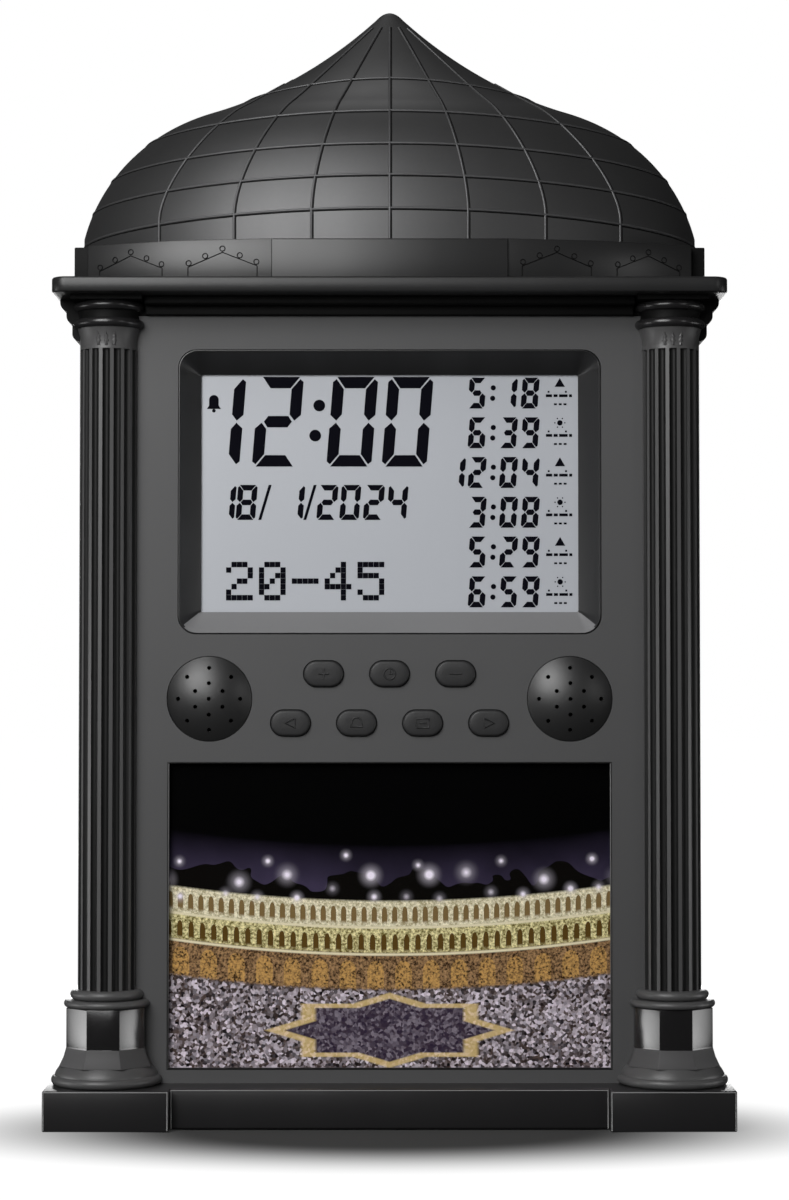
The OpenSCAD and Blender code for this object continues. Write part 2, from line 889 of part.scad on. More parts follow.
module plinth() {
    color([0.13, 0.13, 0.13])
        difference() {
            union() {
                difference() {
                    linear_extrude(plinth_h)
                        plinth_outline(0);
                    translate([0, 0, -1])
                        linear_extrude(plinth_h - wall + 1)
                            plinth_outline(wall);
                }
                for (sx = [-1, 1])
                    for (y = plinth_screw_y)
                        translate([sx * plinth_screw_x, y, base_plate_t])
                            cylinder(h = plinth_h - base_plate_t, r = boss_r);
            }
            for (sx = [-1, 1])
                for (y = plinth_screw_y)
                    translate([sx * plinth_screw_x, y, 0])
                        cylinder(h = plinth_h + 1, r = screw_r + boss_gap);
        }
}

module base_plate() {
    color([0.1, 0.1, 0.1])
        difference() {
            linear_extrude(base_plate_t)
                plinth_outline(wall + fit_gap);
            for (sx = [-1, 1])
                for (y = plinth_screw_y)
                    translate([sx * plinth_screw_x, y, -1]) {
                        cylinder(h = base_plate_t + 2, r = screw_r + boss_gap);
                        cylinder(h = 1 + base_plate_t * 0.6, r = head_r + boss_gap);
                    }
        }
}

module plinth_screws() {
    color([0.7, 0.7, 0.72])
        for (sx = [-1, 1])
            for (y = plinth_screw_y)
                translate([sx * plinth_screw_x, y, base_plate_t * 0.6]) {
                    cylinder(h = plinth_h + 6, r = screw_r - 0.2);
                    translate([0, 0, -base_plate_t * 0.5])
                        cylinder(h = base_plate_t * 0.5, r = head_r);
                }
}

// ---------------------------------------------------------------- cornice

module slab_outline() {
    front = panel_y - slab_front;
    half = slab_w / 2;
    translate([-half, front + slab_r])
        square([slab_w, cover_y - front - slab_r]);
    translate([-half + slab_r, front])
        square([slab_w - 2 * slab_r, slab_r + 1]);
    for (s = [-1, 1])
        translate([s * (half - slab_r), front + slab_r])
            circle(slab_r);
}

module cornice() {
    skirt_h = band_h + step_h;
    front_w = 2 * (column_x - capital_ring_r) - 0.8;
    color([0.14, 0.14, 0.14])
        difference() {
            union() {
                translate([0, 0, slab_z])
                    linear_extrude(slab_t)
                        slab_outline();
                translate([-case_side, panel_y, case_top])
                    cube([case_w, cover_y - panel_y, skirt_h]);
                translate([-front_w / 2, panel_y - band_front, case_top])
                    cube([front_w, band_front + 1, skirt_h]);
                translate([-front_w / 2, panel_y - step_front, case_top + band_h])
                    cube([front_w, step_front + 1, step_h]);
                // side mouldings, each a step in from the one above
                for (side = [-1, 1])
                    for (i = [0:2]) {
                        top = slab_z - (i == 0 ? 0 : side_step_h[0]) - (i == 2 ? side_step_h[1] : 0);
                        out = side_step_out[i];
                        x0 = side > 0 ? case_side + 0.05 : -case_side - 0.05 - out;
                        translate([x0, panel_y + 2, top - side_step_h[i]])
                            cube([out, cover_y - panel_y - 2, side_step_h[i]]);
                    }
                for (side = [-1, 1])
                    translate([side > 0 ? case_side - 1 : -case_side - 1, panel_y + 2, case_top])
                        cube([2, cover_y - panel_y - 2, skirt_h]);
            }
            translate([-case_side + wall, panel_in, case_top - 1])
                cube([case_w - 2 * wall, cover_y - panel_in + 1, skirt_h + 1]);
            for (sx = [-1, 1])
                translate([sx * tie_x, tie_y, slab_z - 1])
                    cylinder(h = slab_t + 2, r = screw_r + boss_gap);
        }
}

// ---------------------------------------------------------------- drum and dome

// Front corners of the drum from the middle to the side: x, distance behind the middle face
drum_corners = [
    [drum_face, 0],
    [drum_face + 25.8, 3.6],
    [drum_face + 49.9, 12.1],
    [drum_face + 49.9, 15.5],
    [drum_face + 53.8, 15.5]
];
drum_y = panel_y - drum_front;
drum_back_x = dome_half_w + 1.5;

module drum_outline(inset) {
    right = concat(
        [for (c = drum_corners) [c[0] - inset, drum_y + c[1] + inset]],
        [[drum_back_x - inset, cover_y + (inset > 0 ? 1 : 0)]]
    );
    left = [for (i = [len(right) - 1:-1:0]) [-right[i][0], right[i][1]]];
    polygon(concat(right, left));
}

// What a round child about the dome's axis becomes: flattened to the dome's depth, in front of the rear cover
module flatten_to_dome() {
    translate([0, cover_y, slab_top])
        scale([1, dome_d / dome_half_w, 1])
            children();
}

module dome_drum() {
    color([0.36, 0.36, 0.36])
        difference() {
            translate([0, 0, slab_top])
                linear_extrude(drum_h)
                    drum_outline(0);
            translate([0, 0, slab_top - 1])
                linear_extrude(drum_h - drum_wall + 1)
                    drum_outline(drum_wall);
            flatten_to_dome()
                translate([0, 0, -1])
                    cylinder(h = drum_h + 2, r = dome_half_w + 0.3, $fn = 180);
        }
}

// Blank plate on the middle face of the drum
module drum_plaque() {
    color([0.32, 0.32, 0.32])
        translate([-drum_face + 0.2, drum_y - plaque_t, slab_top + 0.2])
            cube([2 * drum_face - 0.4, plaque_t, drum_h - 0.4]);
}

// The dome's outline: a straight foot, a round bulge, a hollow neck tangent to it and a blunt tip
neck_z = bulge_z + sqrt(pow(bulge_r + neck_r, 2) - pow(neck_x - bulge_x, 2));
join_a = atan2(neck_z - bulge_z, neck_x - bulge_x);

// Right half of the outline moved inwards by d, with the slab's top at 0: straight foot, bulge, neck, tip
bulge_steps = 16;
neck_steps = 18;

module dome_section(d) {
    bulge = bulge_r - d;
    neck = neck_r + d;
    foot_a = acos((dome_half_w - d - bulge_x) / bulge);
    tip_a = acos((neck_x - tip_r + d * 0.4) / neck);
    polygon(concat(
        [[0, 0], [dome_half_w - d, 0]],
        [
            for (i = [0:bulge_steps])
                let (a = foot_a + (join_a - foot_a) * i / bulge_steps)
                    [bulge_x + bulge * cos(a), bulge_z + bulge * sin(a)]
        ],
        [
            for (i = [1:neck_steps])
                let (a = join_a + (tip_a - join_a) * i / neck_steps)
                    [neck_x - neck * cos(a), neck_z - neck * sin(a)]
        ],
        [[0, neck_z - neck * sin(tip_a)]]
    ));
}

module dome_shell() {
    color([0.28, 0.28, 0.28])
        flatten_to_dome()
            rotate(180)
                rotate_extrude(angle = 180, $fn = 180)
                    difference() {
                        dome_section(0);
                        dome_section(wall);
                    }
}

// Plate and bosses inside the dome's foot, which take the screws from below and behind
module dome_frame() {
    inner_w = dome_half_w - wall - fit_gap;
    color([0.2, 0.2, 0.2])
        difference() {
            union() {
                intersection() {
                    flatten_to_dome()
                        cylinder(h = wall, r = inner_w, $fn = 180);
                    translate([-inner_w, cover_y - dome_d, slab_top])
                        cube([2 * inner_w, dome_d, wall]);
                }
                for (sx = [-1, 1]) {
                    translate([sx * tie_x, tie_y, slab_top])
                        cylinder(h = 14, r = boss_r);
                    // a web carries the boss of each upper cover screw
                    rod_y(sx * dome_boss_x, dome_boss_z, cover_y - 12, cover_y, boss_r);
                    translate([sx * dome_boss_x - 1, cover_y - 12, slab_top])
                        cube([2, 12, dome_boss_z - slab_top]);
                }
            }
            for (sx = [-1, 1]) {
                translate([sx * tie_x, tie_y, slab_top - 1])
                    cylinder(h = 13, r = pilot_r);
                rod_y(sx * dome_boss_x, dome_boss_z, cover_y - 11, cover_y + 1, pilot_r);
            }
        }
}

module tie_screws() {
    color([0.7, 0.7, 0.72])
        for (sx = [-1, 1])
            translate([sx * tie_x, tie_y, case_top - wall]) {
                cylinder(h = slab_top - case_top + wall + 11, r = screw_r - 0.2);
                translate([0, 0, -head_h])
                    cylinder(h = head_h, r = head_r);
            }
}

module column_screws() {
    color([0.7, 0.7, 0.72])
        for (sx = [-1, 1])
            for (z = column_screw_z)
                screw_y(sx * column_x, panel_in, z, wall + 4, -1, screw_r - 0.2, head_r, head_h);
}

module inner_screws() {
    color([0.7, 0.7, 0.72]) {
        for (p = board_screw_places)
            screw_y(p[0], board_back, p[1], board_t + 5, -1, small_screw_r - 0.15, small_head_r, 1.2);
        for (p = retainer_places)
            screw_y(
                p[0], speaker_y + speaker_rim_t + 1, p[1],
                3.4, -1, small_screw_r - 0.15, small_head_r, 1.2
            );
        for (p = backing_screw_places)
            screw_y(
                p[0], panel_in + card_t + backing_t, p[1],
                card_t + backing_t + 1, -1, small_screw_r - 0.15, small_head_r, 1.2
            );
    }
}

// ---------------------------------------------------------------- rear cover

bay_w = cell_l + 2 * contact_room;
bay_h = cell_count * (cell_d + 0.6) + 0.6;
bay_z0 = plinth_h + bay_up;
bay_z = bay_z0 + bay_h / 2;
bay_floor = y_back - door_t - 0.3 - cell_d - 0.6;
bay_wall = 1.6;
door_w = bay_w + 2 * door_margin;
door_h = bay_h + 2 * door_margin;
hinge_y = y_back - 0.1 - door_t / 2;
hinge_z = bay_z - door_h / 2 + door_t / 2;
door_seat = y_back - door_t - 0.1;
pin_reach = 1.2;
cover_side = case_side - 0.4;
cover_screw_places = concat(
    [for (sx = [-1, 1]) for (z = case_boss_z) [sx * boss_x, z]],
    [for (sx = [-1, 1]) [sx * dome_boss_x, dome_boss_z]]
);
knob_l = 3;
knob_h = 2.6;

module rear_cover() {
    color([0.12, 0.12, 0.12])
        difference() {
            union() {
                slab_y(cover_y, y_back)
                    union() {
                        translate([-cover_side, plinth_h + 0.3])
                            square([2 * cover_side, slab_top - plinth_h]);
                        for (side = [0, 1])
                            mirror([side, 0])
                                translate([0, slab_top])
                                    dome_section(0.6);
                    }
                slab_y(bay_floor - bay_wall, cover_y + eps)
                    translate([0, bay_z])
                        square([bay_w + 2 * bay_wall + 4, bay_h + 2 * bay_wall + 4], center = true);
            }
            // bay, door recess and hinge holes
            slab_y(bay_floor, y_back)
                translate([0, bay_z])
                    square([bay_w, bay_h], center = true);
            slab_y(door_seat, y_back + 1)
                translate([0, bay_z])
                    square([door_w + 0.6, door_h + 1], center = true);
            translate([-door_w / 2 - pin_reach - 0.2, hinge_y, hinge_z])
                rotate([0, 90, 0])
                    cylinder(h = door_w + 2 * pin_reach + 0.4, r = hinge_r + 0.1);
            for (p = cover_screw_places) {
                rod_y(p[0], p[1], cover_y - 1, y_back + 1, screw_r + boss_gap);
                rod_y(p[0], p[1], y_back - head_h + 0.4, y_back + 1, head_r + boss_gap);
            }
            // keyhole for hanging
            rod_y(0, hang_z, cover_y - 1, y_back + 1, hang_r);
            rod_y(0, hang_z + 7, cover_y - 1, y_back + 1, hang_slot_r);
            translate([-hang_slot_r, cover_y - 1, hang_z])
                cube([2 * hang_slot_r, cover_t + 2, 7]);
            // plug hole and slider slot
            rod_y(socket_x, socket_z, cover_y - 1, y_back + 1, plug_hole_r);
            translate([-socket_x - volume_travel - knob_l / 2 - 0.4, cover_y - 1, socket_z - knob_h / 2 - 0.3])
                cube([2 * volume_travel + knob_l + 0.8, cover_t + 2, knob_h + 0.6]);
        }
}

module cover_screws() {
    color([0.7, 0.7, 0.72])
        for (p = cover_screw_places)
            screw_y(p[0], y_back - head_h + 0.4, p[1], 9, -1, screw_r - 0.2, head_r, head_h - 0.6);
}

module battery_door() {
    color([0.12, 0.12, 0.12])
        difference() {
            union() {
                slab_y(y_back - 0.1 - door_t, y_back - 0.1)
                    translate([-door_w / 2, hinge_z])
                        square([door_w, door_h - door_t / 2]);
                // round lower edge and the pins at its ends
                translate([-door_w / 2, hinge_y, hinge_z])
                    rotate([0, 90, 0])
                        cylinder(h = door_w, r = door_t / 2);
                translate([-door_w / 2 - pin_reach, hinge_y, hinge_z])
                    rotate([0, 90, 0])
                        cylinder(h = door_w + 2 * pin_reach, r = hinge_r);
            }
            // finger notch
            rod_y(0, bay_z + door_h / 2 + 1, y_back - 1.1, y_back + 1, 4.5);
        }
}

function cell_z(i) = bay_z + (i - (cell_count - 1) / 2) * (cell_d + 0.6);
cell_y = bay_floor + 0.3 + cell_d / 2;

module batteries() {
    nub = 1.2;
    color([0.2, 0.45, 0.3])
        for (i = [0:cell_count - 1]) {
            turn = i % 2 == 0 ? 1 : -1;
            translate([0, cell_y, cell_z(i)])
                rotate([0, 90 * turn, 0]) {
                    translate([0, 0, -cell_l / 2])
                        cylinder(h = cell_l - nub, r = cell_d / 2);
                    translate([0, 0, cell_l / 2 - nub - eps])
                        cylinder(h = nub, r = 2.7);
                }
        }
}

// A cone spring at the flat end of each cell, as its closed outer shape
module battery_springs() {
    color([0.75, 0.75, 0.77])
        for (i = [0:cell_count - 1]) {
            turn = i % 2 == 0 ? 1 : -1;
            translate([-turn * bay_w / 2, cell_y, cell_z(i)])
                rotate([0, 90 * turn, 0])
                    translate([0, 0, 0.5])
                        cylinder(h = contact_room - 0.8, r1 = 5, r2 = 2.6);
        }
}

module battery_contacts() {
    color([0.78, 0.78, 0.8])
        for (i = [0:cell_count - 1]) {
            for (side = [-1, 1])
                translate([side * (bay_w / 2 - 0.25), cell_y, cell_z(i)])
                    cube([0.5, 10, 11], center = true);
            // raised button that the cell's cap meets
            turn = i % 2 == 0 ? 1 : -1;
            translate([turn * (bay_w / 2 - 0.5), cell_y, cell_z(i)])
                rotate([0, -90 * turn, 0])
                    translate([0, 0, -eps])
                        cylinder(h = contact_room - 0.8, r = 2.4);
        }
}

module power_socket() {
    socket_l = 11;
    color([0.08, 0.08, 0.08])
        difference() {
            translate([socket_x - 4.5, cover_y - socket_l, socket_z - 5.5])
                cube([9, socket_l, 11]);
            rod_y(socket_x, socket_z, cover_y - socket_l + 1.5, cover_y + 1, plug_r);
        }
}

module socket_pin() {
    color([0.8, 0.8, 0.82])
        rod_y(socket_x, socket_z, cover_y - 9.5, cover_y - 0.8, 0.65);
}

module volume_switch() {
    switch_w = 17;
    color([0.6, 0.6, 0.62])
        difference() {
            translate([-socket_x - switch_w / 2, cover_y - 5.5, socket_z - 4])
                cube([switch_w, 5.5, 8]);
            translate([-socket_x - volume_travel - 1.4, cover_y - 3, socket_z - 1.1])
                cube([2 * volume_travel + 2.8, 4, 2.2]);
        }
}

module volume_slider() {
    color([0.1, 0.1, 0.1]) {
        translate([-socket_x - knob_l / 2, cover_y + 0.3, socket_z - knob_h / 2])
            cube([knob_l, cover_t - 0.5, knob_h]);
        translate([-socket_x - 0.9, cover_y - 2.7, socket_z - 0.8])
            cube([1.8, 3.1, 1.6]);
    }
}

front_housing();
lcd_bezel();
lcd_glass();
lcd_reflector();
lcd_connectors();
main_board();
main_board_parts();
key_board();
key_mat();
board_ribbon();
key(0);  // key_1
key(1);  // key_2
key(2);  // key_3
key(3);  // key_4
key(4);  // key_5
key(5);  // key_6
key(6);  // key_7
grille(-speaker_x);  // grille_left
grille(speaker_x);  // grille_right
speaker_frames();
speaker_cones();
speaker_magnets();
speaker_retainers();
picture_window();
picture_card();
picture_backing();
column(-1);  // column_left
column(1);  // column_right
plinth();
base_plate();
cornice();
dome_drum();
drum_plaque();
dome_shell();
dome_frame();
rear_cover();
battery_door();
batteries();
battery_springs();
battery_contacts();
power_socket();
socket_pin();
volume_switch();
volume_slider();
cover_screws();
tie_screws();
plinth_screws();
column_screws();
inner_screws();
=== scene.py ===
"""Looks of a mosque-shaped prayer clock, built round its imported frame.

Lengths in the shape functions are millimetres; Shape.piece and wire turn them into metres.
+Z is up and the front faces -Y.
"""

import math

import bmesh
import bpy
from bpy.props import FloatProperty, FloatVectorProperty, IntProperty, PointerProperty
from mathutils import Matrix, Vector


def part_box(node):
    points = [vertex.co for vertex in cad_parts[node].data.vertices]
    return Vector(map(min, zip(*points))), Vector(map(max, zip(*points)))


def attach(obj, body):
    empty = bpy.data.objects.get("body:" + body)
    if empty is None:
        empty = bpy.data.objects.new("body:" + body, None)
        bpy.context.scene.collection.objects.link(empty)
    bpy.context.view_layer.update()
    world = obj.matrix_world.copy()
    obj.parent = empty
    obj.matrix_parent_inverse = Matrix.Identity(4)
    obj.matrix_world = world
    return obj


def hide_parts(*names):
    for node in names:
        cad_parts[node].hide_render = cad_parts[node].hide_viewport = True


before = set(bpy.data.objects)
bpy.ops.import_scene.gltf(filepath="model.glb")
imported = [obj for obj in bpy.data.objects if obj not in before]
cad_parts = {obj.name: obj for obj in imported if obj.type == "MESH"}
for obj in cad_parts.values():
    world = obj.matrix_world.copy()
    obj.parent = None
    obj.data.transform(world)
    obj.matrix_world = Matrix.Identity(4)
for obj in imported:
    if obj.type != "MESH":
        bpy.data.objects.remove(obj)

bl_info = {
    "name": "Prayer Clock Dresser",
    "version": (1, 0, 0),
    "blender": (4, 5, 0),
    "location": "3D View > Sidebar > Clock",
    "description": "Builds the visible pieces, finishes and stage of a mosque-shaped prayer clock",
    "category": "Add Mesh",
}

FIXED_BODY = "clock"
MM = 0.001


# ---- sizes from the frame

def box_mm(node):
    """Low and high corner of a node's box."""
    low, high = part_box(node)
    return [v * 1000 for v in low], [v * 1000 for v in high]


def middle_mm(node):
    return [(a + b) / 2 for a, b in zip(*box_mm(node))]


PLINTH_LOW, PLINTH_HIGH = box_mm("plinth")
HOUSING_LOW, HOUSING_HIGH = box_mm("front_housing")
CORNICE_LOW, CORNICE_HIGH = box_mm("cornice")
DRUM_LOW, DRUM_HIGH = box_mm("dome_drum")
DOME_LOW, DOME_HIGH = box_mm("dome_shell")
BEZEL_LOW, BEZEL_HIGH = box_mm("lcd_bezel")
CARD_LOW, CARD_HIGH = box_mm("picture_card")
DOOR_LOW, DOOR_HIGH = box_mm("battery_door")

PANEL_Y = HOUSING_LOW[1]
COVER_Y = HOUSING_HIGH[1]
BACK_Y = PLINTH_HIGH[1]
PLINTH_TOP = PLINTH_HIGH[2]
CASE_SIDE = HOUSING_HIGH[0]
CASE_TOP = HOUSING_HIGH[2]
SLAB_TOP = CORNICE_HIGH[2]
DRUM_TOP = DRUM_HIGH[2]
DOME_TOP = DOME_HIGH[2]
GLASS_Y = box_mm("lcd_glass")[0][1]
DISPLAY_Z = middle_mm("lcd_glass")[2]
VIEW_W = 102.2
VIEW_H = 64.4
WINDOW_W = 119.1


# ---- settings a user would change

def length_setting(name, description, default, low):
    return FloatProperty(
        name=name, description=description, default=default, min=low, max=0.001, unit="LENGTH", precision=5)


def colour_setting(name, description, default):
    return FloatVectorProperty(
        name=name, description=description, default=default, min=0, max=1, subtype="COLOR")


class ClockSizes(bpy.types.PropertyGroup):
    rib_radius: length_setting("Dome rib radius", "Radius of the round ribs on the dome", 0.00036, 0.0002)
    rib_sides: IntProperty(
        name="Rib sides", description="Number of sides of a dome rib", default=10, min=4, max=16)
    edge_round: length_setting("Edge rounding", "Rounding of the plinth's edges", 0.00035, 0.0001)
    leaf_count: IntProperty(
        name="Leaves on a capital", description="Leaves of the spray on a capital", default=3, min=1, max=9)
    segment_gap: length_setting("Segment gap", "Gap between the segments of a numeral", 0.00028, 0.0001)


class ClockColours(bpy.types.PropertyGroup):
    housing: colour_setting("Housing", "Grey coat of the front panel", (0.058, 0.058, 0.059))
    trim: colour_setting("Trim", "Near-black of the mouldings", (0.013, 0.0125, 0.013))
    dome: colour_setting("Dome", "Grey coat of the dome", (0.08, 0.08, 0.0808))
    drum: colour_setting("Drum", "Grey coat of the drum", (0.011, 0.011, 0.0112))
    display: colour_setting("Display", "Background of the liquid crystal display", (0.39, 0.405, 0.435))
    numerals: colour_setting("Numerals", "Dark segments of the display", (0.0025, 0.0025, 0.005))


# ---- mesh helpers

def link_object(name, mesh):
    piece = bpy.data.objects.new(name, mesh)
    bpy.context.collection.objects.link(piece)
    return piece


def soften(piece, sharp):
    """Smooth shading, except where faces meet at more than sharp degrees."""
    piece.data.shade_smooth()
    piece.data.set_sharp_from_angle(angle=math.radians(sharp))


def evaluated_mesh(piece):
    """Replaces a piece's mesh by what its modifiers make of it."""
    depsgraph = bpy.context.evaluated_depsgraph_get()
    mesh = bpy.data.meshes.new_from_object(piece.evaluated_get(depsgraph), depsgraph=depsgraph)
    mesh.name = piece.name
    piece.modifiers.clear()
    piece.data = mesh


def round_edges(piece, width, segments=3, angle=40.0, sharp=50.0):
    bevel = piece.modifiers.new("Rounded edges", "BEVEL")
    bevel.width = width * MM
    bevel.segments = segments
    bevel.limit_method = "ANGLE"
    bevel.angle_limit = math.radians(angle)
    bevel.use_clamp_overlap = True
    evaluated_mesh(piece)
    soften(piece, sharp)


def ride(piece, replaces=None, body=FIXED_BODY):
    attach(piece, body)
    if replaces:
        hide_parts(replaces)


class Shape:
    """Points and faces of a piece. Points that meet are joined when the piece is made."""

    def __init__(self):
        self.points = []
        self.faces = []

    def face(self, points):
        self.faces.append([len(self.points) + i for i in range(len(points))])
        self.points += points

    def grid(self, rows, rings=False):
        """Quads between the points of neighbouring rows, or rings."""
        width = len(rows[0])
        for near in range(len(self.points), len(self.points) + width * (len(rows) - 1), width):
            for j in range(width if rings else width - 1):
                k = (j + 1) % width
                self.faces.append([near + j, near + k, near + width + k, near + width + j])
        self.points += [point for row in rows for point in row]

    def skin(self, outer, inner):
        """Two grids joined along their first rows and their sides."""
        self.grid(outer)
        self.grid(inner)
        self.grid([outer[0], inner[0]])
        for side in (0, -1):
            self.grid([[row[side] for row in outer], [row[side] for row in inner]])

    def loft(self, rings):
        """Quads between rings of equal length, with the first and last ring closed by a face."""
        start = len(self.points)
        self.grid(rings, True)
        end = len(self.points)
        count = len(rings[0])
        self.faces += [list(range(start, start + count))[::-1], list(range(end - count, end))]

    def loft_closed(self, rings):
        """A loft whose last ring joins its first, like a frame with a hole."""
        self.grid(rings + rings[:1], True)

    def prism_y(self, outline, y0, y1):
        self.loft([[(x, y, z) for x, z in outline] for y in (y0, y1)])

    def prism_z(self, outline, z0, z1):
        self.loft([[(x, y, z) for x, y in outline] for z in (z0, z1)])

    def box(self, low, high):
        self.prism_z(rectangle(low[0], low[1], high[0], high[1]), low[2], high[2])

    def half_lathe(self, profile, x, steps=36):
        """The front half of a turned shape about x, on the panel. The profile starts and ends on the axis."""
        rows = []
        for j in range(steps + 1):
            a = math.pi * j / steps
            rows.append([(x + r * math.cos(a), PANEL_Y - r * math.sin(a), z) for r, z in profile])
        self.grid(rows)
        self.face(rows[0] + rows[-1][::-1])

    def ride(self, name, finish_name, slot, replaces=None, body=FIXED_BODY, sharp=35.0, rounding=0.0):
        """The shape as a piece that rides on a body, with its edges rounded where a rounding is given."""
        piece = self.piece(name, finish_name, sharp)
        if rounding:
            round_edges(piece, rounding)
        ride(piece, replaces, body)

    def piece(self, name, finish_name, sharp=35.0):
        """An object of the faces, smooth except where they meet at more than sharp degrees."""
        mesh = bpy.data.meshes.new(name)
        mesh.from_pydata([[c * MM for c in point] for point in self.points], [], self.faces)
        shape = bmesh.new()
        shape.from_mesh(mesh)
        bmesh.ops.remove_doubles(shape, verts=shape.verts, dist=2e-6)
        bmesh.ops.recalc_face_normals(shape, faces=shape.faces)
        shape.to_mesh(mesh)
        shape.free()
        mesh.materials.append(finish(finish_name))
        piece = link_object(name, mesh)
        soften(piece, sharp)
        return piece


def second_finish(piece, finish_name, chosen):
    """Gives another finish to the faces that are chosen by their middle, in millimetres, and their normal."""
    piece.data.materials.append(finish(finish_name))
    for polygon in piece.data.polygons:
        if chosen(polygon.center * 1000, polygon.normal):
            polygon.material_index = len(piece.data.materials) - 1


def rectangle(x0, y0, x1, y1):
    return [(x0, y0), (x1, y0), (x1, y1), (x0, y1)]


def arc(cx, cy, r, a0, a1, steps):
    """Points of an arc between two angles in degrees."""
    out = []
    for i in range(steps + 1):
        a = math.radians(a0 + (a1 - a0) * i / steps)
        out.append((cx + r * math.cos(a), cy + r * math.sin(a)))
    return out


def round_rect(w, h, r, steps=10):
    out = []
    for sx, sy, start in ((1, 1, 0), (-1, 1, 90), (-1, -1, 180), (1, -1, 270)):
        out.extend(arc(sx * (w / 2 - r), sy * (h / 2 - r), r, start, start + 90, steps))
    return out


def pill(w, h):
    r = h / 2
    return arc(w / 2 - r, 0, r, -90, 90, 14) + arc(-w / 2 + r, 0, r, 90, 270, 14)


def wire(name, paths):
    """An object of bare edges along lists of points, for a tree to follow."""
    verts = []
    edges = []
    for path in paths:
        start = len(verts)
        verts.extend([[c * MM for c in p] for p in path])
        edges.extend([(start + i, start + i + 1) for i in range(len(path) - 1)])
    mesh = bpy.data.meshes.new(name)
    mesh.from_pydata(verts, edges, [])
    return link_object(name, mesh)


# ---- node helpers

def once(collection, name):
    """Marks a builder whose result is kept in Blender's data under a name, so that it is built only once."""
    def wrap(build):
        return lambda: getattr(bpy.data, collection).get(name) or build(name)
    return wrap


class Field:
    """A socket whose value can stand in a formula. Each step of the formula becomes a Math node."""

    def __init__(self, socket):
        self.socket = socket

    def calc(self, operation, *others):
        return formula(self.socket.id_data, operation, self, *others)

    def __add__(self, other):
        return self.calc("ADD", other)

    def __sub__(self, other):
        return self.calc("SUBTRACT", other)

    def __rsub__(self, other):
        return formula(self.socket.id_data, "SUBTRACT", other, self)

    def __mul__(self, other):
        return self.calc("MULTIPLY", other)

    def __truediv__(self, other):
        return self.calc("DIVIDE", other)


def feed(socket, value):
    """Links a node, a socket or a field to a socket, or sets the socket's value."""
    if isinstance(value, bpy.types.Node):
        value = value.outputs[0]
    if isinstance(value, Field):
        value = value.socket
    if isinstance(value, bpy.types.NodeSocket):
        socket.id_data.links.new(value, socket)
    else:
        socket.default_value = value


def add(tree, kind, inputs=None, **settings):
    """A new node with its settings made and its inputs fed."""
    node = tree.nodes.new(kind)
    for label, value in settings.items():
        setattr(node, label, value)
    for label, value in (inputs or {}).items():
        feed(node.inputs[label], value)
    return node


def formula(tree, operation, *values):
    return Field(add(tree, "ShaderNodeMath", dict(enumerate(values)), operation=operation).outputs[0])


def new_group(name, kind, inputs, outputs):
    """A tree with named inputs and outputs. Gives it with the sockets of its input node."""
    tree = bpy.data.node_groups.new(name, kind)
    for label, socket_kind, value in inputs:
        socket = tree.interface.new_socket(name=label, in_out="INPUT", socket_type="NodeSocket" + socket_kind)
        if value is not None:
            socket.default_value = value
    for label, socket_kind in outputs:
        tree.interface.new_socket(name=label, in_out="OUTPUT", socket_type="NodeSocket" + socket_kind)
    return tree, tree.nodes.new("NodeGroupInput").outputs


# ---- geometry node trees

def geometry_tree(name, inputs):
    inputs = [("Geometry", "Geometry", None)] + inputs + [("Material", "Material", None)]
    return new_group(name, "GeometryNodeTree", inputs, [("Geometry", "Geometry")])


def finish_tree(tree, given, geometry):
    """Makes the copies real and gives them their material."""
    real = add(tree, "GeometryNodeRealizeInstances", {"Geometry": geometry})
    painted = add(tree, "GeometryNodeSetMaterial", {"Geometry": real, "Material": given["Material"]})
    add(tree, "NodeGroupOutput", {"Geometry": painted})
    return tree


@once("node_groups", "Ribs along lines")
def ribs_tree(name):
    """A round rib along each line of the guide."""
    tree, given = geometry_tree(name, [("Radius", "Float", 0.0005), ("Sides", "Int", 8)])
    lines = add(tree, "GeometryNodeMeshToCurve", {"Mesh": given["Geometry"]})
    section = add(tree, "GeometryNodeCurvePrimitiveCircle",
                  {"Radius": given["Radius"], "Resolution": given["Sides"]})
    sweep = add(tree, "GeometryNodeCurveToMesh",
                {"Curve": lines, "Profile Curve": section, "Fill Caps": True})
    return finish_tree(tree, given, sweep)


@once("node_groups", "Display dots")
def dots_tree(name):
    """A thin square tile on each point of the guide, for the dot matrix of the display."""
    tree, given = geometry_tree(name, [("Size", "Vector", (0.0013, 0.00005, 0.0013))])
    points = add(tree, "GeometryNodeMeshToPoints", {"Mesh": given["Geometry"]})
    tile = add(tree, "GeometryNodeMeshCube", {"Size": given["Size"]})
    copies = add(tree, "GeometryNodeInstanceOnPoints", {"Points": points, "Instance": tile})
    return finish_tree(tree, given, copies)


@once("node_groups", "Leaves round a capital")
def leaves_tree(name):
    """Copies of the guide, one leaf, turned round the vertical axis and spread over an angle."""
    tree, given = geometry_tree(
        name, [("Count", "Int", 3), ("Span", "Float", 0.8), ("Centre", "Vector", (0, 0, 0))])
    points = add(tree, "GeometryNodePoints", {"Count": given["Count"], "Position": given["Centre"]})
    index = Field(add(tree, "GeometryNodeInputIndex").outputs["Index"])
    turn = ((index + 0.5) / given["Count"] - 0.5) * given["Span"]
    angle = add(tree, "ShaderNodeCombineXYZ", {"Z": turn})
    copies = add(tree, "GeometryNodeInstanceOnPoints",
                 {"Points": points, "Instance": given["Geometry"], "Rotation": angle})
    return finish_tree(tree, given, copies)


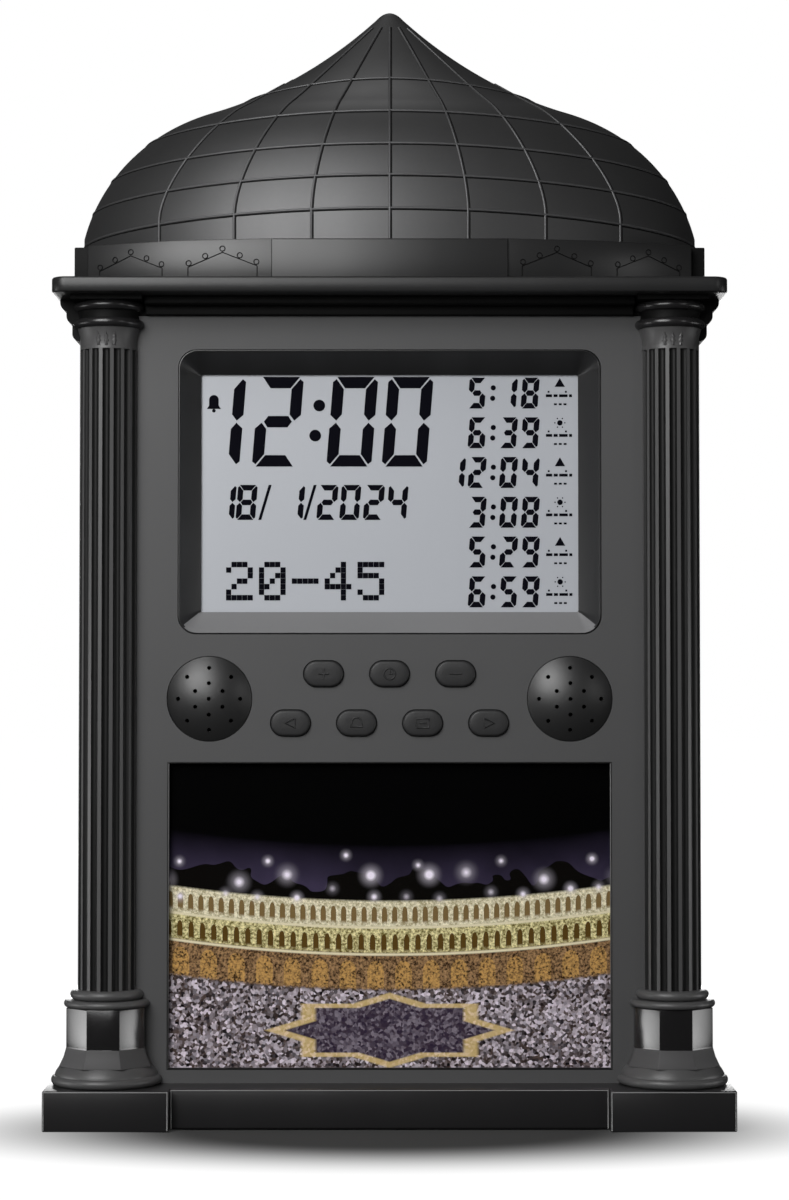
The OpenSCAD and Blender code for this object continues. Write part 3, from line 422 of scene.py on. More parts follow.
def grow(guide, tree, finish_name, sharp=50.0, **values):
    """Runs a tree on a guide object and keeps the result as a plain mesh."""
    modifier = guide.modifiers.new(tree.name, "NODES")
    modifier.node_group = tree
    names = {item.name: item.identifier for item in tree.interface.items_tree if item.in_out == "INPUT"}
    modifier[names["Material"]] = finish(finish_name)
    for label, value in values.items():
        modifier[names[label.capitalize()]] = value
    evaluated_mesh(guide)
    if not guide.data.materials:
        guide.data.materials.append(finish(finish_name))
    soften(guide, sharp)
    return guide


def ribs(name, paths, radius, sides, finish_name, replaces=None, body=FIXED_BODY):
    """Round ribs along lists of points. The radius is in metres."""
    ride(grow(wire(name, paths), ribs_tree(), finish_name, radius=radius, sides=sides), replaces, body)


# ---- finishes

# Colour or the setting that holds it, roughness, drift of the tone, handling marks,
# size of the grain in metres, strength of the grain, specular level, metal
FINISHES = {
    "Housing coat": ("housing", 0.5, 0.06, 0.08, 0.0005, 0.04, 0.35, 0.0),
    "Frame painted shade": ((0.012, 0.012, 0.0124), 0.36, 0.06, 0.08, 0.0005, 0.04, 0.5, 0.0),
    "Sill painted light": ((0.16, 0.16, 0.163), 0.45, 0.06, 0.08, 0.0005, 0.03, 0.5, 0.0),
    # Near-black for the thin pediment lines, and as painted shade for the rib shadows, the drum's recessed
    # ends, under the slab and in the capitals' necks
    "Black lines and painted shade": ((0.003, 0.003, 0.003), 0.6, 0.12, 0.08, 0.0004, 0.05, 0.12, 0.0),
    "Trim plastic": ("trim", 0.26, 0.2, 0.1, 0.0004, 0.03, 0.5, 0.0),
    "Dome coat": ("dome", 0.48, 0.14, 0.1, 0.0004, 0.03, 0.4, 0.8),
    "Rib coat": ((0.1, 0.1, 0.102), 0.55, 0.2, 0.08, 0.0004, 0.03, 0.4, 0.75),
    "Drum coat": ("drum", 0.34, 0.08, 0.08, 0.0004, 0.03, 0.46, 0.0),
    "Slab coat": ((0.014, 0.014, 0.0143), 0.36, 0.1, 0.08, 0.0004, 0.03, 0.38, 0.0),
    "Shaft plastic": ((0.06, 0.0595, 0.06), 0.4, 0.1, 0.08, 0.0004, 0.02, 0.4, 0.0),
    "Flute shade": ((0.003, 0.003, 0.003), 0.5, 0.12, 0.08, 0.0004, 0.02, 0.2, 0.0),
    "Pedestal plastic": ((0.009, 0.0087, 0.009), 0.12, 0.15, 0.08, 0.0004, 0.02, 0.5, 0.0),
    "Flare coat": ((0.05, 0.049, 0.05), 0.55, 0.12, 0.08, 0.0004, 0.02, 0.3, 0.0),
    "Plinth plastic": ((0.012, 0.0116, 0.0122), 0.3, 0.15, 0.08, 0.0004, 0.02, 0.5, 0.0),
    "Painted edge highlight": ((0.24, 0.24, 0.24), 0.5, 0.12, 0.08, 0.0004, 0.05, 0.5, 0.0),
    "Display cell": ("display", 0.32, 0.03, 0.03, 0.0009, 0.01, 0.35, 0.0),
    "Display ink": ("numerals", 0.7, 0.05, 0.08, 0.0004, 0.01, 0.03, 0.0),
    "Reflector white": ((0.8, 0.8, 0.78), 0.6, 0.12, 0.08, 0.0004, 0.05, 0.5, 0.0),
    "Key plastic": ((0.019, 0.019, 0.0195), 0.45, 0.15, 0.08, 0.0006, 0.1, 0.3, 0.0),
    "Grille plastic": ((0.012, 0.012, 0.0122), 0.4, 0.1, 0.08, 0.0004, 0.03, 0.6, 0.0),
    "Cone paper": ((0.012, 0.012, 0.012), 0.85, 0.12, 0.08, 0.0003, 0.4, 0.5, 0.0),
    "Speaker steel": ((0.2, 0.2, 0.21), 0.35, 0.12, 0.2, 0.0004, 0.05, 0.5, 1.0),
    "Rim black": ((0.004, 0.004, 0.004), 0.3, 0.12, 0.08, 0.0004, 0.05, 0.5, 0.0),
    "Backing white": ((0.6, 0.6, 0.58), 0.6, 0.12, 0.08, 0.0004, 0.05, 0.5, 0.0),
    "Rear plastic": ((0.016, 0.016, 0.0165), 0.55, 0.12, 0.08, 0.0007, 0.25, 0.4, 0.0),
    "Socket plastic": ((0.01, 0.01, 0.01), 0.28, 0.12, 0.08, 0.0004, 0.03, 0.5, 0.0),
    "Plated steel": ((0.55, 0.56, 0.58), 0.28, 0.1, 0.2, 0.0004, 0.05, 0.5, 1.0),
    "Solder mask": ((0.01, 0.09, 0.035), 0.35, 0.12, 0.08, 0.0012, 0.2, 0.5, 0.0),
    "Dark rubber": ((0.03, 0.03, 0.032), 0.8, 0.12, 0.08, 0.0004, 0.1, 0.5, 0.0),
    "Chip epoxy": ((0.01, 0.01, 0.01), 0.5, 0.12, 0.08, 0.0004, 0.1, 0.5, 0.0),
    "Cable film": ((0.65, 0.65, 0.6), 0.4, 0.12, 0.08, 0.0004, 0.05, 0.5, 0.0),
}


def noise(place, scale, detail=2.0, roughness=0.5):
    values = {"Vector": place, "Scale": scale, "Detail": detail, "Roughness": roughness}
    return Field(add(place.id_data, "ShaderNodeTexNoise", values).outputs["Fac"])


def object_place(tree):
    return add(tree, "ShaderNodeTexCoord").outputs["Object"]


@once("node_groups", "Moulded surface")
def moulded_surface(name):
    """Tone drift, handling marks and grain of a moulded and coated surface."""
    tree, given = new_group(name, "ShaderNodeTree", [
        ("Colour", "Color", (0.1, 0.1, 0.1, 1)),
        ("Drift", "Float", 0.12),
        ("Roughness", "Float", 0.45),
        ("Marks", "Float", 0.08),
        ("Grain scale", "Float", 2500.0),
    ], [("Colour", "Color"), ("Roughness", "Float"), ("Height", "Float")])
    place = object_place(tree)
    level = noise(place, 22.0, 3.0) * 1.5 + noise(place, 900.0, 1.0) * 0.5
    gain = (level - 1.0) * given["Drift"] + 1.0
    toned = add(tree, "ShaderNodeVectorMath", {0: given["Colour"], "Scale": gain}, operation="SCALE")
    stretched = add(tree, "ShaderNodeMapping", {"Vector": place, "Scale": (1.0, 1.0, 0.25)}).outputs[0]
    swing = (noise(stretched, 60.0, 4.0, 0.6) - 0.5) * given["Marks"]
    grain = noise(place, given["Grain scale"])
    add(tree, "NodeGroupOutput", {"Colour": toned, "Roughness": swing + given["Roughness"], "Height": grain})
    return tree


def new_material(name):
    """A new material, with its tree and its shader."""
    material = bpy.data.materials.new(name)
    material.use_nodes = True
    return material, material.node_tree, material.node_tree.nodes["Principled BSDF"]


def finish(name):
    """A material by name: a moulded or coated surface of the table, or one that was built before."""
    if name in bpy.data.materials:
        return bpy.data.materials[name]
    colour, roughness, drift, marks, grain, bump, specular, metallic = FINISHES[name]
    if isinstance(colour, str):
        colour = getattr(bpy.context.scene.clock_colours, colour)
    material, tree, shader = new_material(name)
    surface = add(tree, "ShaderNodeGroup", node_tree=moulded_surface())
    for socket, value in zip(surface.inputs, ((*colour, 1), drift, roughness, marks, 1.0 / grain)):
        feed(socket, value)
    relief = add(tree, "ShaderNodeBump", {
        "Strength": bump, "Distance": 0.0003, "Height": surface.outputs["Height"]})
    feed(shader.inputs["Base Color"], surface.outputs["Colour"])
    feed(shader.inputs["Roughness"], surface.outputs["Roughness"])
    feed(shader.inputs["Normal"], relief)
    feed(shader.inputs["Specular IOR Level"], specular)
    feed(shader.inputs["Metallic"], metallic)
    material.diffuse_color = (*colour, 1)
    return material


def paint(material, *nodes):
    """Gives CAD nodes a material, or the finish of a name."""
    if isinstance(material, str):
        material = finish(material)
    for node in nodes:
        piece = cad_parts[node]
        if not piece.material_slots:
            piece.data.materials.append(material)
        for slot in piece.material_slots:
            slot.material = material


# ---- dome

BULGE_R = 49.2
BULGE_X = 39.3
BULGE_Z = 6.9
NECK_R = 134.5
NECK_X = 94.9
TIP_R = 1.6
TIP_CAP_R = 2.8
SHELL_WALL = 2.4
DOME_HALF = DOME_HIGH[0]
DOME_FLATTEN = (DOME_HIGH[1] - DOME_LOW[1]) / DOME_HALF
NECK_Z = BULGE_Z + math.sqrt((BULGE_R + NECK_R) ** 2 - (NECK_X - BULGE_X) ** 2)
JOIN_A = math.atan2(NECK_Z - BULGE_Z, NECK_X - BULGE_X)


def dome_profile(inset, bulge_steps=28, neck_steps=40):
    """Radius and height of the dome's outline from its foot to its blunt tip, moved inwards by inset."""
    bulge = BULGE_R - inset
    neck = NECK_R + inset
    foot_a = math.acos((DOME_HALF - inset - BULGE_X) / bulge)
    tip_a = math.acos((NECK_X - TIP_R + inset * 0.4) / neck)
    points = [(DOME_HALF - inset, SLAB_TOP)]
    for i in range(bulge_steps + 1):
        a = foot_a + (JOIN_A - foot_a) * i / bulge_steps
        points.append((BULGE_X + bulge * math.cos(a), SLAB_TOP + BULGE_Z + bulge * math.sin(a)))
    for i in range(1, neck_steps + 1):
        a = JOIN_A + (tip_a - JOIN_A) * i / neck_steps
        points.append((NECK_X - neck * math.cos(a), SLAB_TOP + NECK_Z - neck * math.sin(a)))
    # a small round cap goes on from the slope
    kept = [point for point in points if point[0] > TIP_CAP_R]
    r, z = kept[-1]
    top = DOME_TOP if inset == 0 else z + r * 0.4
    return kept + [(r * share, top - (top - z) * share ** 2) for share in (0.85, 0.68, 0.5, 0.32, 0.15)]


def half_ring(r, steps):
    """Points of the dome's flattened half round, in plan."""
    turns = [math.pi * j / steps for j in range(steps + 1)]
    return [(r * math.cos(a), COVER_Y - DOME_FLATTEN * r * math.sin(a)) for a in turns]


def dome_radius(z):
    """Radius of the dome's outline at height z."""
    up = z - SLAB_TOP
    foot_top = BULGE_Z + BULGE_R * math.sin(math.acos((DOME_HALF - BULGE_X) / BULGE_R))
    join_top = BULGE_Z + BULGE_R * math.sin(JOIN_A)
    if up < foot_top:
        return DOME_HALF
    if up < join_top:
        return BULGE_X + math.sqrt(BULGE_R ** 2 - (up - BULGE_Z) ** 2)
    return NECK_X - math.sqrt(max(NECK_R ** 2 - (NECK_Z - up) ** 2, 0))


def dome_point(share, z, proud):
    """A point on the dome's front: share is its x as a part of the outline's radius at that height."""
    r = dome_radius(z) + proud
    share = max(-1.0, min(1.0, share))
    return (r * share, COVER_Y - DOME_FLATTEN * r * math.sqrt(1 - share * share), z)


class CLOCK_OT_dome(bpy.types.Operator):
    """Build the onion dome and the ribs of its grid"""
    bl_idname = "clock.dome"
    bl_label = "Dome"

    rib_sink = -0.14
    ring_heights = (286.0, 273.2, 262.9, 253.7, 244.3)
    ring_droop = 3.5
    rib_pitch = 21.0
    rib_narrowing = 1.6
    rib_foot = 244.0

    def execute(self, context):
        shell = Shape()
        outer, inner = [
            [[(x, y, z) for x, y in half_ring(r, 120)] for r, z in dome_profile(inset)]
            for inset in (0.0, SHELL_WALL)]
        shell.skin(outer, inner)
        # the blunt tip is closed on each side, and at the back
        for end in (outer[-1], inner[-1], [outer[-1][0], outer[-1][-1], inner[-1][-1], inner[-1][0]]):
            shell.face(end)
        shell.ride("dome", "Dome coat", "dome_coat", "dome_shell", sharp=30)
        sizes = context.scene.clock_sizes
        # the ribs' coat is lighter than the dome's, a painted highlight along them
        self.grid("dome_ribs", 0, sizes.rib_radius, sizes.rib_sides, "Rib coat")
        # each rib has a thin near-black line below or beside it, a painted shadow of the rib
        self.grid("dome_rib_shadows", 0.5, 0.00022, 6, "Black lines and painted shade")
        return {"FINISHED"}

    def grid(self, name, aside, radius, sides, finish_name):
        paths = [self.meridian(k, aside) for k in range(-3, 4)]
        paths += [self.ring(height - aside) for height in self.ring_heights]
        ribs(name, paths, radius, sides, finish_name)

    def meridian(self, k, aside):
        path = []
        z = DRUM_TOP - 2
        while z < DOME_TOP - 5.0:
            climb = max(0.0, (z - self.rib_foot) / (DOME_TOP - self.rib_foot))
            share = (k * self.rib_pitch * (1 - climb ** self.rib_narrowing) + aside) / dome_radius(z)
            if abs(share) > 0.97:
                break
            path.append(dome_point(share, z, self.rib_sink))
            z += 1.5
        return path

    def ring(self, height):
        shares = [math.sin(math.radians(a)) for a in range(-90, 91, 3)]
        return [dome_point(share, height - self.ring_droop * share ** 2, self.rib_sink) for share in shares]


# ---- drum

# Corners of the drum's right half, from its middle: x, and how far behind the front facet
DRUM_STEPS = ((31.6, 0.0), (57.4, 3.6), (81.5, 12.1), (81.5, 15.5), (85.4, 15.5))


class CLOCK_OT_drum(bpy.types.Operator):
    """Build the faceted parapet under the dome, its bare plate and its pediment lines"""
    bl_idname = "clock.drum"
    bl_label = "Drum"

    dome_clearance = 0.35

    def execute(self, context):
        right = [(x, DRUM_LOW[1] + back) for x, back in DRUM_STEPS] + [(DRUM_HIGH[0], COVER_Y)]
        left = [(-x, y) for x, y in reversed(right)]
        shape = Shape()
        shape.prism_z(left + right + half_ring(DOME_HALF + self.dome_clearance, 60), SLAB_TOP, DRUM_TOP)
        drum = shape.piece("drum", "Drum coat", sharp=20)
        # the recessed ends of the drum are near-black, painted shade
        second_finish(drum, "Black lines and painted shade", lambda place, normal: abs(place.x) > DRUM_STEPS[2][0] - 0.1)
        round_edges(drum, 0.3, segments=2, angle=12, sharp=30)
        ride(drum, "dome_drum")
        plate = Shape()
        plate.box(*box_mm("drum_plaque"))
        plate.ride("drum_plate", "Drum coat", "drum_grey", "drum_plaque", rounding=0.3)
        lines = []
        for side in (-1, 1):
            for start, end in zip(DRUM_STEPS[:2], DRUM_STEPS[1:3]):
                lines += self.pediment(side, start, end)
        ribs("pediment_lines", lines, 0.00014, 6, "Black lines and painted shade")
        return {"FINISHED"}

    def pediment(self, side, start, end):
        """Two sloping lines to an apex, with uprights at their ends and small rings above, on one facet."""
        length = math.dist(start, end)
        ax, ay = (end[0] - start[0]) / length, (end[1] - start[1]) / length
        rise = 0.05

        def on_facet(along, up):
            x = start[0] + ax * (length / 2 + along) + ay * rise
            y = DRUM_LOW[1] + start[1] + ay * (length / 2 + along) - ax * rise
            return (side * x, y, SLAB_TOP + up)

        half = length * 0.36
        shoulder, apex, ring_r = 4.2, 8.0, 0.7
        lines = [[on_facet(-half, shoulder), on_facet(0, apex), on_facet(half, shoulder)]]
        for along in (-half, half):
            lines.append([on_facet(along, 0.6), on_facet(along, shoulder)])
        for share in (-0.98, -0.5, 0.0, 0.5, 0.98):
            up = shoulder + (apex - shoulder) * (1 - abs(share)) + ring_r + 0.3
            lines.append([on_facet(half * share + px, up + pz) for px, pz in arc(0, 0, ring_r, 0, 360, 12)])
        return lines


# ---- cornice

class CLOCK_OT_cornice(bpy.types.Operator):
    """Build the slab, the mouldings under it and their returns along the case sides"""
    bl_idname = "clock.cornice"
    bl_label = "Cornice"

    slab_bottom = SLAB_TOP - 3.2
    slab_half = 89.6
    front_half = 65.6
    # The slab's edge: inset and height; it rises a little round the foot of the drum
    slab_levels = ((0.6, 0.0), (0.2, 0.12), (0.0, 0.45), (0.0, 3.4), (0.12, 3.75), (0.35, 3.95), (0.7, 4.05))
    # The returns, from the slab down: top below the slab, height, and how far they stand out
    return_steps = ((0.0, 3.1, 5.6), (3.1, 3.6, 3.9), (6.7, 4.4, 2.3))

    def slab_outline(self, inset):
        """An outline with two round front corners, from the back left round the front to the back right."""
        half = self.slab_half - inset
        front = CORNICE_LOW[1] + inset
        corner = 4.0 - inset
        return ([(-half, COVER_Y)] + arc(-half + corner, front + corner, corner, 180, 270, 8)
                + arc(half - corner, front + corner, corner, 270, 360, 8) + [(half, COVER_Y)])

    def execute(self, context):
        shape = Shape()
        shape.loft([[(x, y, self.slab_bottom + up) for x, y in self.slab_outline(inset)]
                    for inset, up in self.slab_levels])
        shape.ride("cornice_slab", "Slab coat", "trim_dark", "cornice", sharp=40)
        # the mouldings under the slab are near-black, painted shade under its overhang
        under = Shape()
        top = self.slab_bottom + 0.1
        under.box((-CASE_SIDE, PANEL_Y, CASE_TOP), (CASE_SIDE, COVER_Y, top))
        under.box((-self.front_half, PANEL_Y - 2.0, CASE_TOP), (self.front_half, PANEL_Y + 1, top))
        under.box((-self.front_half, PANEL_Y - 6.5, CASE_TOP + 2.4), (self.front_half, PANEL_Y + 1, top))
        under.ride("cornice_mouldings", "Black lines and painted shade", "trim_dark", rounding=0.4)
        # the returns are near-black, painted shade under the slab
        returns = Shape()
        inner = CASE_SIDE + 0.05
        for side in (-1, 1):
            for down, height, out in self.return_steps:
                top = self.slab_bottom - down
                r = min(out - 0.4, height - 0.4, 2.4)
                section = [(inner, top), (inner, top - height)]
                section += arc(inner + out - r, top - height + r, r, -90, 0, 8) + [(inner + out, top)]
                returns.prism_y([(side * x, z) for x, z in section], PANEL_Y + 2.0, COVER_Y)
        returns.ride("cornice_returns", "Black lines and painted shade", "trim_dark", sharp=40)
        return {"FINISHED"}


# ---- columns

COLUMN_X = 75.5
SHAFT_R = 7.65
FLUTES = 16
FLUTE_R = 1.05
FLUTE_OUT = 0.25
# Rings: radius, height of the underside, thickness
FOOT = (14.75, 10.6, 2.6)
CUSHION = (12.9, 13.2, 2.5)
COLLAR = (11.4, 31.1, 2.0)
SHAFT_RING = (9.75, 33.1, 2.6)
LOW_RING = (9.5, 212.3, 2.6)
HIGH_RING = (9.5, 216.9, 2.6)
FLARE_Z = 15.7
FLARE_FOOT_R = 12.2
PEDESTAL_Z = 20.5
PEDESTAL_HALF = 10.35
SHAFT_Z = 35.7
BELL_Z = 206.6
BELL_R = 8.4
ABACUS_Z = 219.5
ABACUS_H = 1.2
ABACUS_HALF = 9.5


def rim(ring, inner=0.0, out=0.0, steps=10):
    """Section of a ring with a half-round rim, from inner out and back."""
    r, z, h = ring
    return [(inner, z)] + arc(out + r - h / 2, z + h / 2, h / 2, -90, 90, steps) + [(inner, z + h)]


def bell_radius(share):
    """Radius of the capital's bell at a share of its height."""
    return SHAFT_R - 0.1 + (BELL_R - SHAFT_R + 0.1) * share ** 2.2


def fluted_outline(x):
    """Front half of the shaft's section, with its flutes cut in as arcs."""
    centre = SHAFT_R + FLUTE_OUT
    half_span = math.acos((SHAFT_R ** 2 + centre ** 2 - FLUTE_R ** 2) / (2 * SHAFT_R * centre))
    points = []
    for k in range(FLUTES // 2 + 1):
        for i in range(9):
            a = half_span * (i / 4 - 1)
            # distance from the axis to the near side of the flute's circle, along the direction a
            r = centre * math.cos(a) - math.sqrt(max(FLUTE_R ** 2 - (centre * math.sin(a)) ** 2, 0))
            turn = 2 * math.pi * k / FLUTES + a
            if -1e-6 <= turn <= math.pi + 1e-6:
                points.append((x + r * math.cos(turn), PANEL_Y - r * math.sin(turn)))
    return points


class CLOCK_OT_columns(bpy.types.Operator):
    """Build the two fluted half columns with their pedestals and capitals"""
    bl_idname = "clock.columns"
    bl_label = "Columns"

    def execute(self, context):
        for side, name in ((-1, "left"), (1, "right")):
            x = side * COLUMN_X
            self.turned(x, "column_" + name)
            self.pedestal(side, x, "column_" + name)
            self.leaves(context.scene.clock_sizes.leaf_count, x, "capital_" + name + "_leaves")
        return {"FINISHED"}

    def turned(self, x, name):
        """Rings, fluted shaft, bell and the neck between the upper rings."""
        neck = Shape()
        low, high = LOW_RING[1] + 2.3, HIGH_RING[1] + 0.3
        neck.half_lathe([(0.0, low), (BELL_R - 0.2, low), (BELL_R - 0.5, low + 1.3), (BELL_R - 0.2, high),
                         (0.0, high)], x)
        neck.box((x - ABACUS_HALF, PANEL_Y - ABACUS_HALF, ABACUS_Z),
                 (x + ABACUS_HALF, PANEL_Y, ABACUS_Z + ABACUS_H))
        # the neck and the abacus are near-black, painted shade between the rings and under the slab
        neck.ride(name + "_neck", "Black lines and painted shade", "trim_dark")
        shape = Shape()
        for ring in (FOOT, COLLAR, SHAFT_RING, LOW_RING, HIGH_RING):
            shape.half_lathe(rim(ring), x)
        # the cushion swells out to the foot
        foot_z = FOOT[1] + FOOT[2] - 0.3
        swell = [(FLARE_FOOT_R + 0.1 + 1.5 * math.sin(s * math.pi / 10), FLARE_Z - (FLARE_Z - foot_z) * s / 5)
                 for s in range(5, -1, -1)]
        shape.half_lathe([(0.0, foot_z)] + swell + [(0.0, FLARE_Z)], x)
        bell = [(SHAFT_R + 0.05, BELL_Z), (SHAFT_R + 0.05, BELL_Z + 0.4)]
        bell += [(bell_radius(i / 8), BELL_Z + 0.7 + 5.0 * i / 8) for i in range(9)]
        shape.half_lathe([(0.0, BELL_Z)] + bell + [(0.0, BELL_Z + 5.7)], x)
        shape.prism_z(fluted_outline(x), SHAFT_Z - 0.1, BELL_Z + 0.1)
        body = shape.piece(name + "_turned", "Shaft plastic", sharp=32)

        # the flutes' faces get a near-black finish, painted shade in their hollows
        def in_flute(place, normal):
            depth = SHAFT_R - math.hypot(place.x - x, place.y - PANEL_Y)
            return SHAFT_Z + 5 < place.z < BELL_Z - 5 and depth > 0.1 and place.y < PANEL_Y - 0.1

        second_finish(body, "Flute shade", in_flute)
        second_finish(body, "Trim plastic", lambda place, normal: place.z > LOW_RING[1])
        ride(body, name)

    def pedestal(self, side, x, name):
        """Octagon, flare and square block, with the base mouldings that run back along the case side."""
        def half_octagon(across, z):
            corner = across / math.cos(math.radians(22.5))
            turned = arc(0, 0, corner, 22.5, 157.5, 3)
            points = [(across, 0)] + turned + [(-across, 0)]
            return [(x + px, PANEL_Y - py, z) for px, py in points]

        block = Shape()
        block.loft([
            half_octagon(FLARE_FOOT_R, FLARE_Z),
            half_octagon((FLARE_FOOT_R + PEDESTAL_HALF) / 2 - 0.25, FLARE_Z + 2.6),
            half_octagon(PEDESTAL_HALF + 0.05, PEDESTAL_Z),
            half_octagon(PEDESTAL_HALF, PEDESTAL_Z + 0.4),
            half_octagon(PEDESTAL_HALF, COLLAR[1]),
        ])
        octagon = block.piece(name + "_pedestal", "Pedestal plastic", sharp=15)
        second_finish(octagon, "Flare coat", lambda place, normal: place.z < PEDESTAL_Z)
        round_edges(octagon, 0.18, segments=2, angle=25, sharp=18)
        ride(octagon)
        inner = CASE_SIDE + 0.05
        sections = [rim(ring, inner, COLUMN_X, 8) for ring in (FOOT, CUSHION, COLLAR, SHAFT_RING)]
        block_x = COLUMN_X + PEDESTAL_HALF
        sections.append([(inner, FLARE_Z), (COLUMN_X + FLARE_FOOT_R, FLARE_Z), (block_x, PEDESTAL_Z),
                         (block_x, COLLAR[1]), (inner, COLLAR[1])])
        back = Shape()
        for section in sections:
            back.prism_y([(side * px, pz) for px, pz in section], PANEL_Y, COVER_Y)
        back.ride(name + "_returns", "Trim plastic", "trim_dark", sharp=32)

    def leaves(self, count, x, name):
        """One lobed leaf that leans on the bell, repeated in a small spray on its front."""
        height, width, foot = 3.4, 0.75, 0.9
        rows = []
        for i in range(11):
            t = i / 10
            lobes = 0.7 + 0.3 * math.cos(t * 6 * math.pi)
            half = width * math.sin(math.pi * min(1.0, 0.18 + t * 0.82)) ** 0.7 * lobes + 0.05
            up = foot + height * t
            lean = bell_radius(max(0.0, (up - 0.7) / 5.0)) + 0.02
            row = []
            for j in range(-3, 4):
                share = j / 3
                swell = 0.26 * (1 - share * share) + (0.08 if j == 0 else 0.0)
                row.append((half * share, -(lean + swell), up))
            rows.append(row)
        back = [[(px, py + 0.6, pz) for px, py, pz in row] for row in rows]
        shape = Shape()
        shape.skin(rows, back)
        shape.grid([rows[-1], back[-1]])
        leaf = shape.piece(name, "Trim plastic", sharp=60)
        grow(leaf, leaves_tree(), "Shaft plastic", 60, count=count, span=math.radians(16 * count),
             centre=(x * MM, PANEL_Y * MM, BELL_Z * MM))
        ride(leaf)


# ---- plinth

class CLOCK_OT_plinth(bpy.types.Operator):
    """Build the stepped plinth with its centre plate and painted highlights along its edges"""
    bl_idname = "clock.plinth"
    bl_label = "Plinth"

    set_back = 4.5
    block_in = 57.8
    wall = 2.5
    floor = 1.9
    margin = 0.35

    def outline(self, inset, z):
        half = PLINTH_HIGH[0] - inset
        front = PLINTH_LOW[1] + inset
        step = self.block_in + inset
        right = [(step, front + self.set_back), (step, front), (half, front), (half, BACK_Y - inset)]
        return [(-x, y, z) for x, y in reversed(right)] + [(x, y, z) for x, y in right]

    def execute(self, context):
        shape = Shape()
        shape.loft([self.outline(self.wall, self.floor), self.outline(self.wall, 0.0),
                    self.outline(0, 0.0), self.outline(0, PLINTH_TOP)])
        rounding = context.scene.clock_sizes.edge_round * 1000
        shape.ride("plinth_body", "Plinth plastic", "trim_dark", "plinth", rounding=rounding)
        plate = Shape()
        half = self.block_in - self.margin
        face_y = PLINTH_LOW[1] + self.set_back
        plate.box((-half, face_y - 0.35, self.margin), (half, face_y + 1, PLINTH_TOP - 0.1))
        plate.ride("plinth_centre_plate", "Plinth plastic", "trim_dark", rounding=0.3)
        # thin light lines along the edges of the front plates, a painted highlight on their rounded edges
        end = PLINTH_HIGH[0] - self.margin
        start = self.block_in + self.margin
        low, top = 0.3, PLINTH_TOP - 0.35
        lines = []
        for x0, x1, y in ((-end, -start, PLINTH_LOW[1] - 0.02), (start, end, PLINTH_LOW[1] - 0.02),
                          (-half, half, face_y - 0.37)):
            lines.append([(x0, y, low), (x0, y, top), (x1, y, top), (x1, y, low)])
        ribs("plinth_edge_lines", lines, 0.00017, 6, "Painted edge highlight")
        return {"FINISHED"}


# ---- front panel and display frame

class CLOCK_OT_panel(bpy.types.Operator):
    """Finish the front housing and build the sloping frame of the display"""
    bl_idname = "clock.panel"
    bl_label = "Panel and display frame"

    def execute(self, context):
        paint("Housing coat", "front_housing")
        full_w = BEZEL_HIGH[0] - BEZEL_LOW[0]
        full_h = BEZEL_HIGH[2] - BEZEL_LOW[2]
        back = BEZEL_HIGH[1]
        # width, height, corner and place of each ring, from the flange at the back over the lip to the glass
        rings = [(full_w, full_h, 2.0, back), (full_w, full_h, 2.0, PANEL_Y + 2.4)]
        for smaller, corner, y in (
                (3.4, 5.0, 2.4), (3.4, 5.0, 0.0), (3.8, 4.8, -0.05), (4.5, 4.5, 0.3), (5.1, 4.3, 0.8)):
            rings.append((full_w - smaller, full_h - smaller, corner, PANEL_Y + y))
        rings += [(VIEW_W + 1.2, VIEW_H + 1.2, 1.0, PANEL_Y + 5.5), (VIEW_W, VIEW_H, 0.6, PANEL_Y + 6.0),
                  (VIEW_W, VIEW_H, 0.6, back)]
        shape = Shape()
        shape.loft_closed([[(x, y, DISPLAY_Z + z) for x, z in round_rect(w, h, r)] for w, h, r, y in rings])
        # the frame is much darker than the panel, painted shade of the recess
        bezel = shape.piece("display_frame", "Frame painted shade", sharp=28)
        # the faces of the sill that look up get a much lighter finish, painted light from above
        second_finish(bezel, "Sill painted light", lambda place, normal: normal.z > 0.45 and normal.y < -0.3)
        ride(bezel, "lcd_bezel")
        return {"FINISHED"}


# ---- display

SEGMENTS = {
    "0": "abcdef", "1": "bc", "2": "abged", "3": "abgcd", "4": "fgbc",
    "5": "afgcd", "6": "afgedc", "7": "abc", "8": "abcdefg", "9": "abcdfg",
}
DOT_ROWS = {
    "0": "01110 10001 10011 10101 11001 10001 01110",
    "2": "01110 10001 00001 00110 01000 10000 11111",
    "4": "00010 00110 01010 10010 11111 00010 00010",
    "5": "11111 10000 11110 00001 00001 10001 01110",
    "-": "00000 00000 00000 11111 00000 00000 00000",
}


def ink(shape, outline):
    """Adds a thin flat mark in front of the display."""
    shape.prism_y(outline, GLASS_Y - 0.06, GLASS_Y - 0.01)


def bar(shape, x, z, length, height):
    ink(shape, rectangle(x, z, x + length, z + height))


def spot(shape, x, z, r, sides=20):
    ink(shape, arc(x, z, r, 0, 360 - 360 / sides, sides - 1))


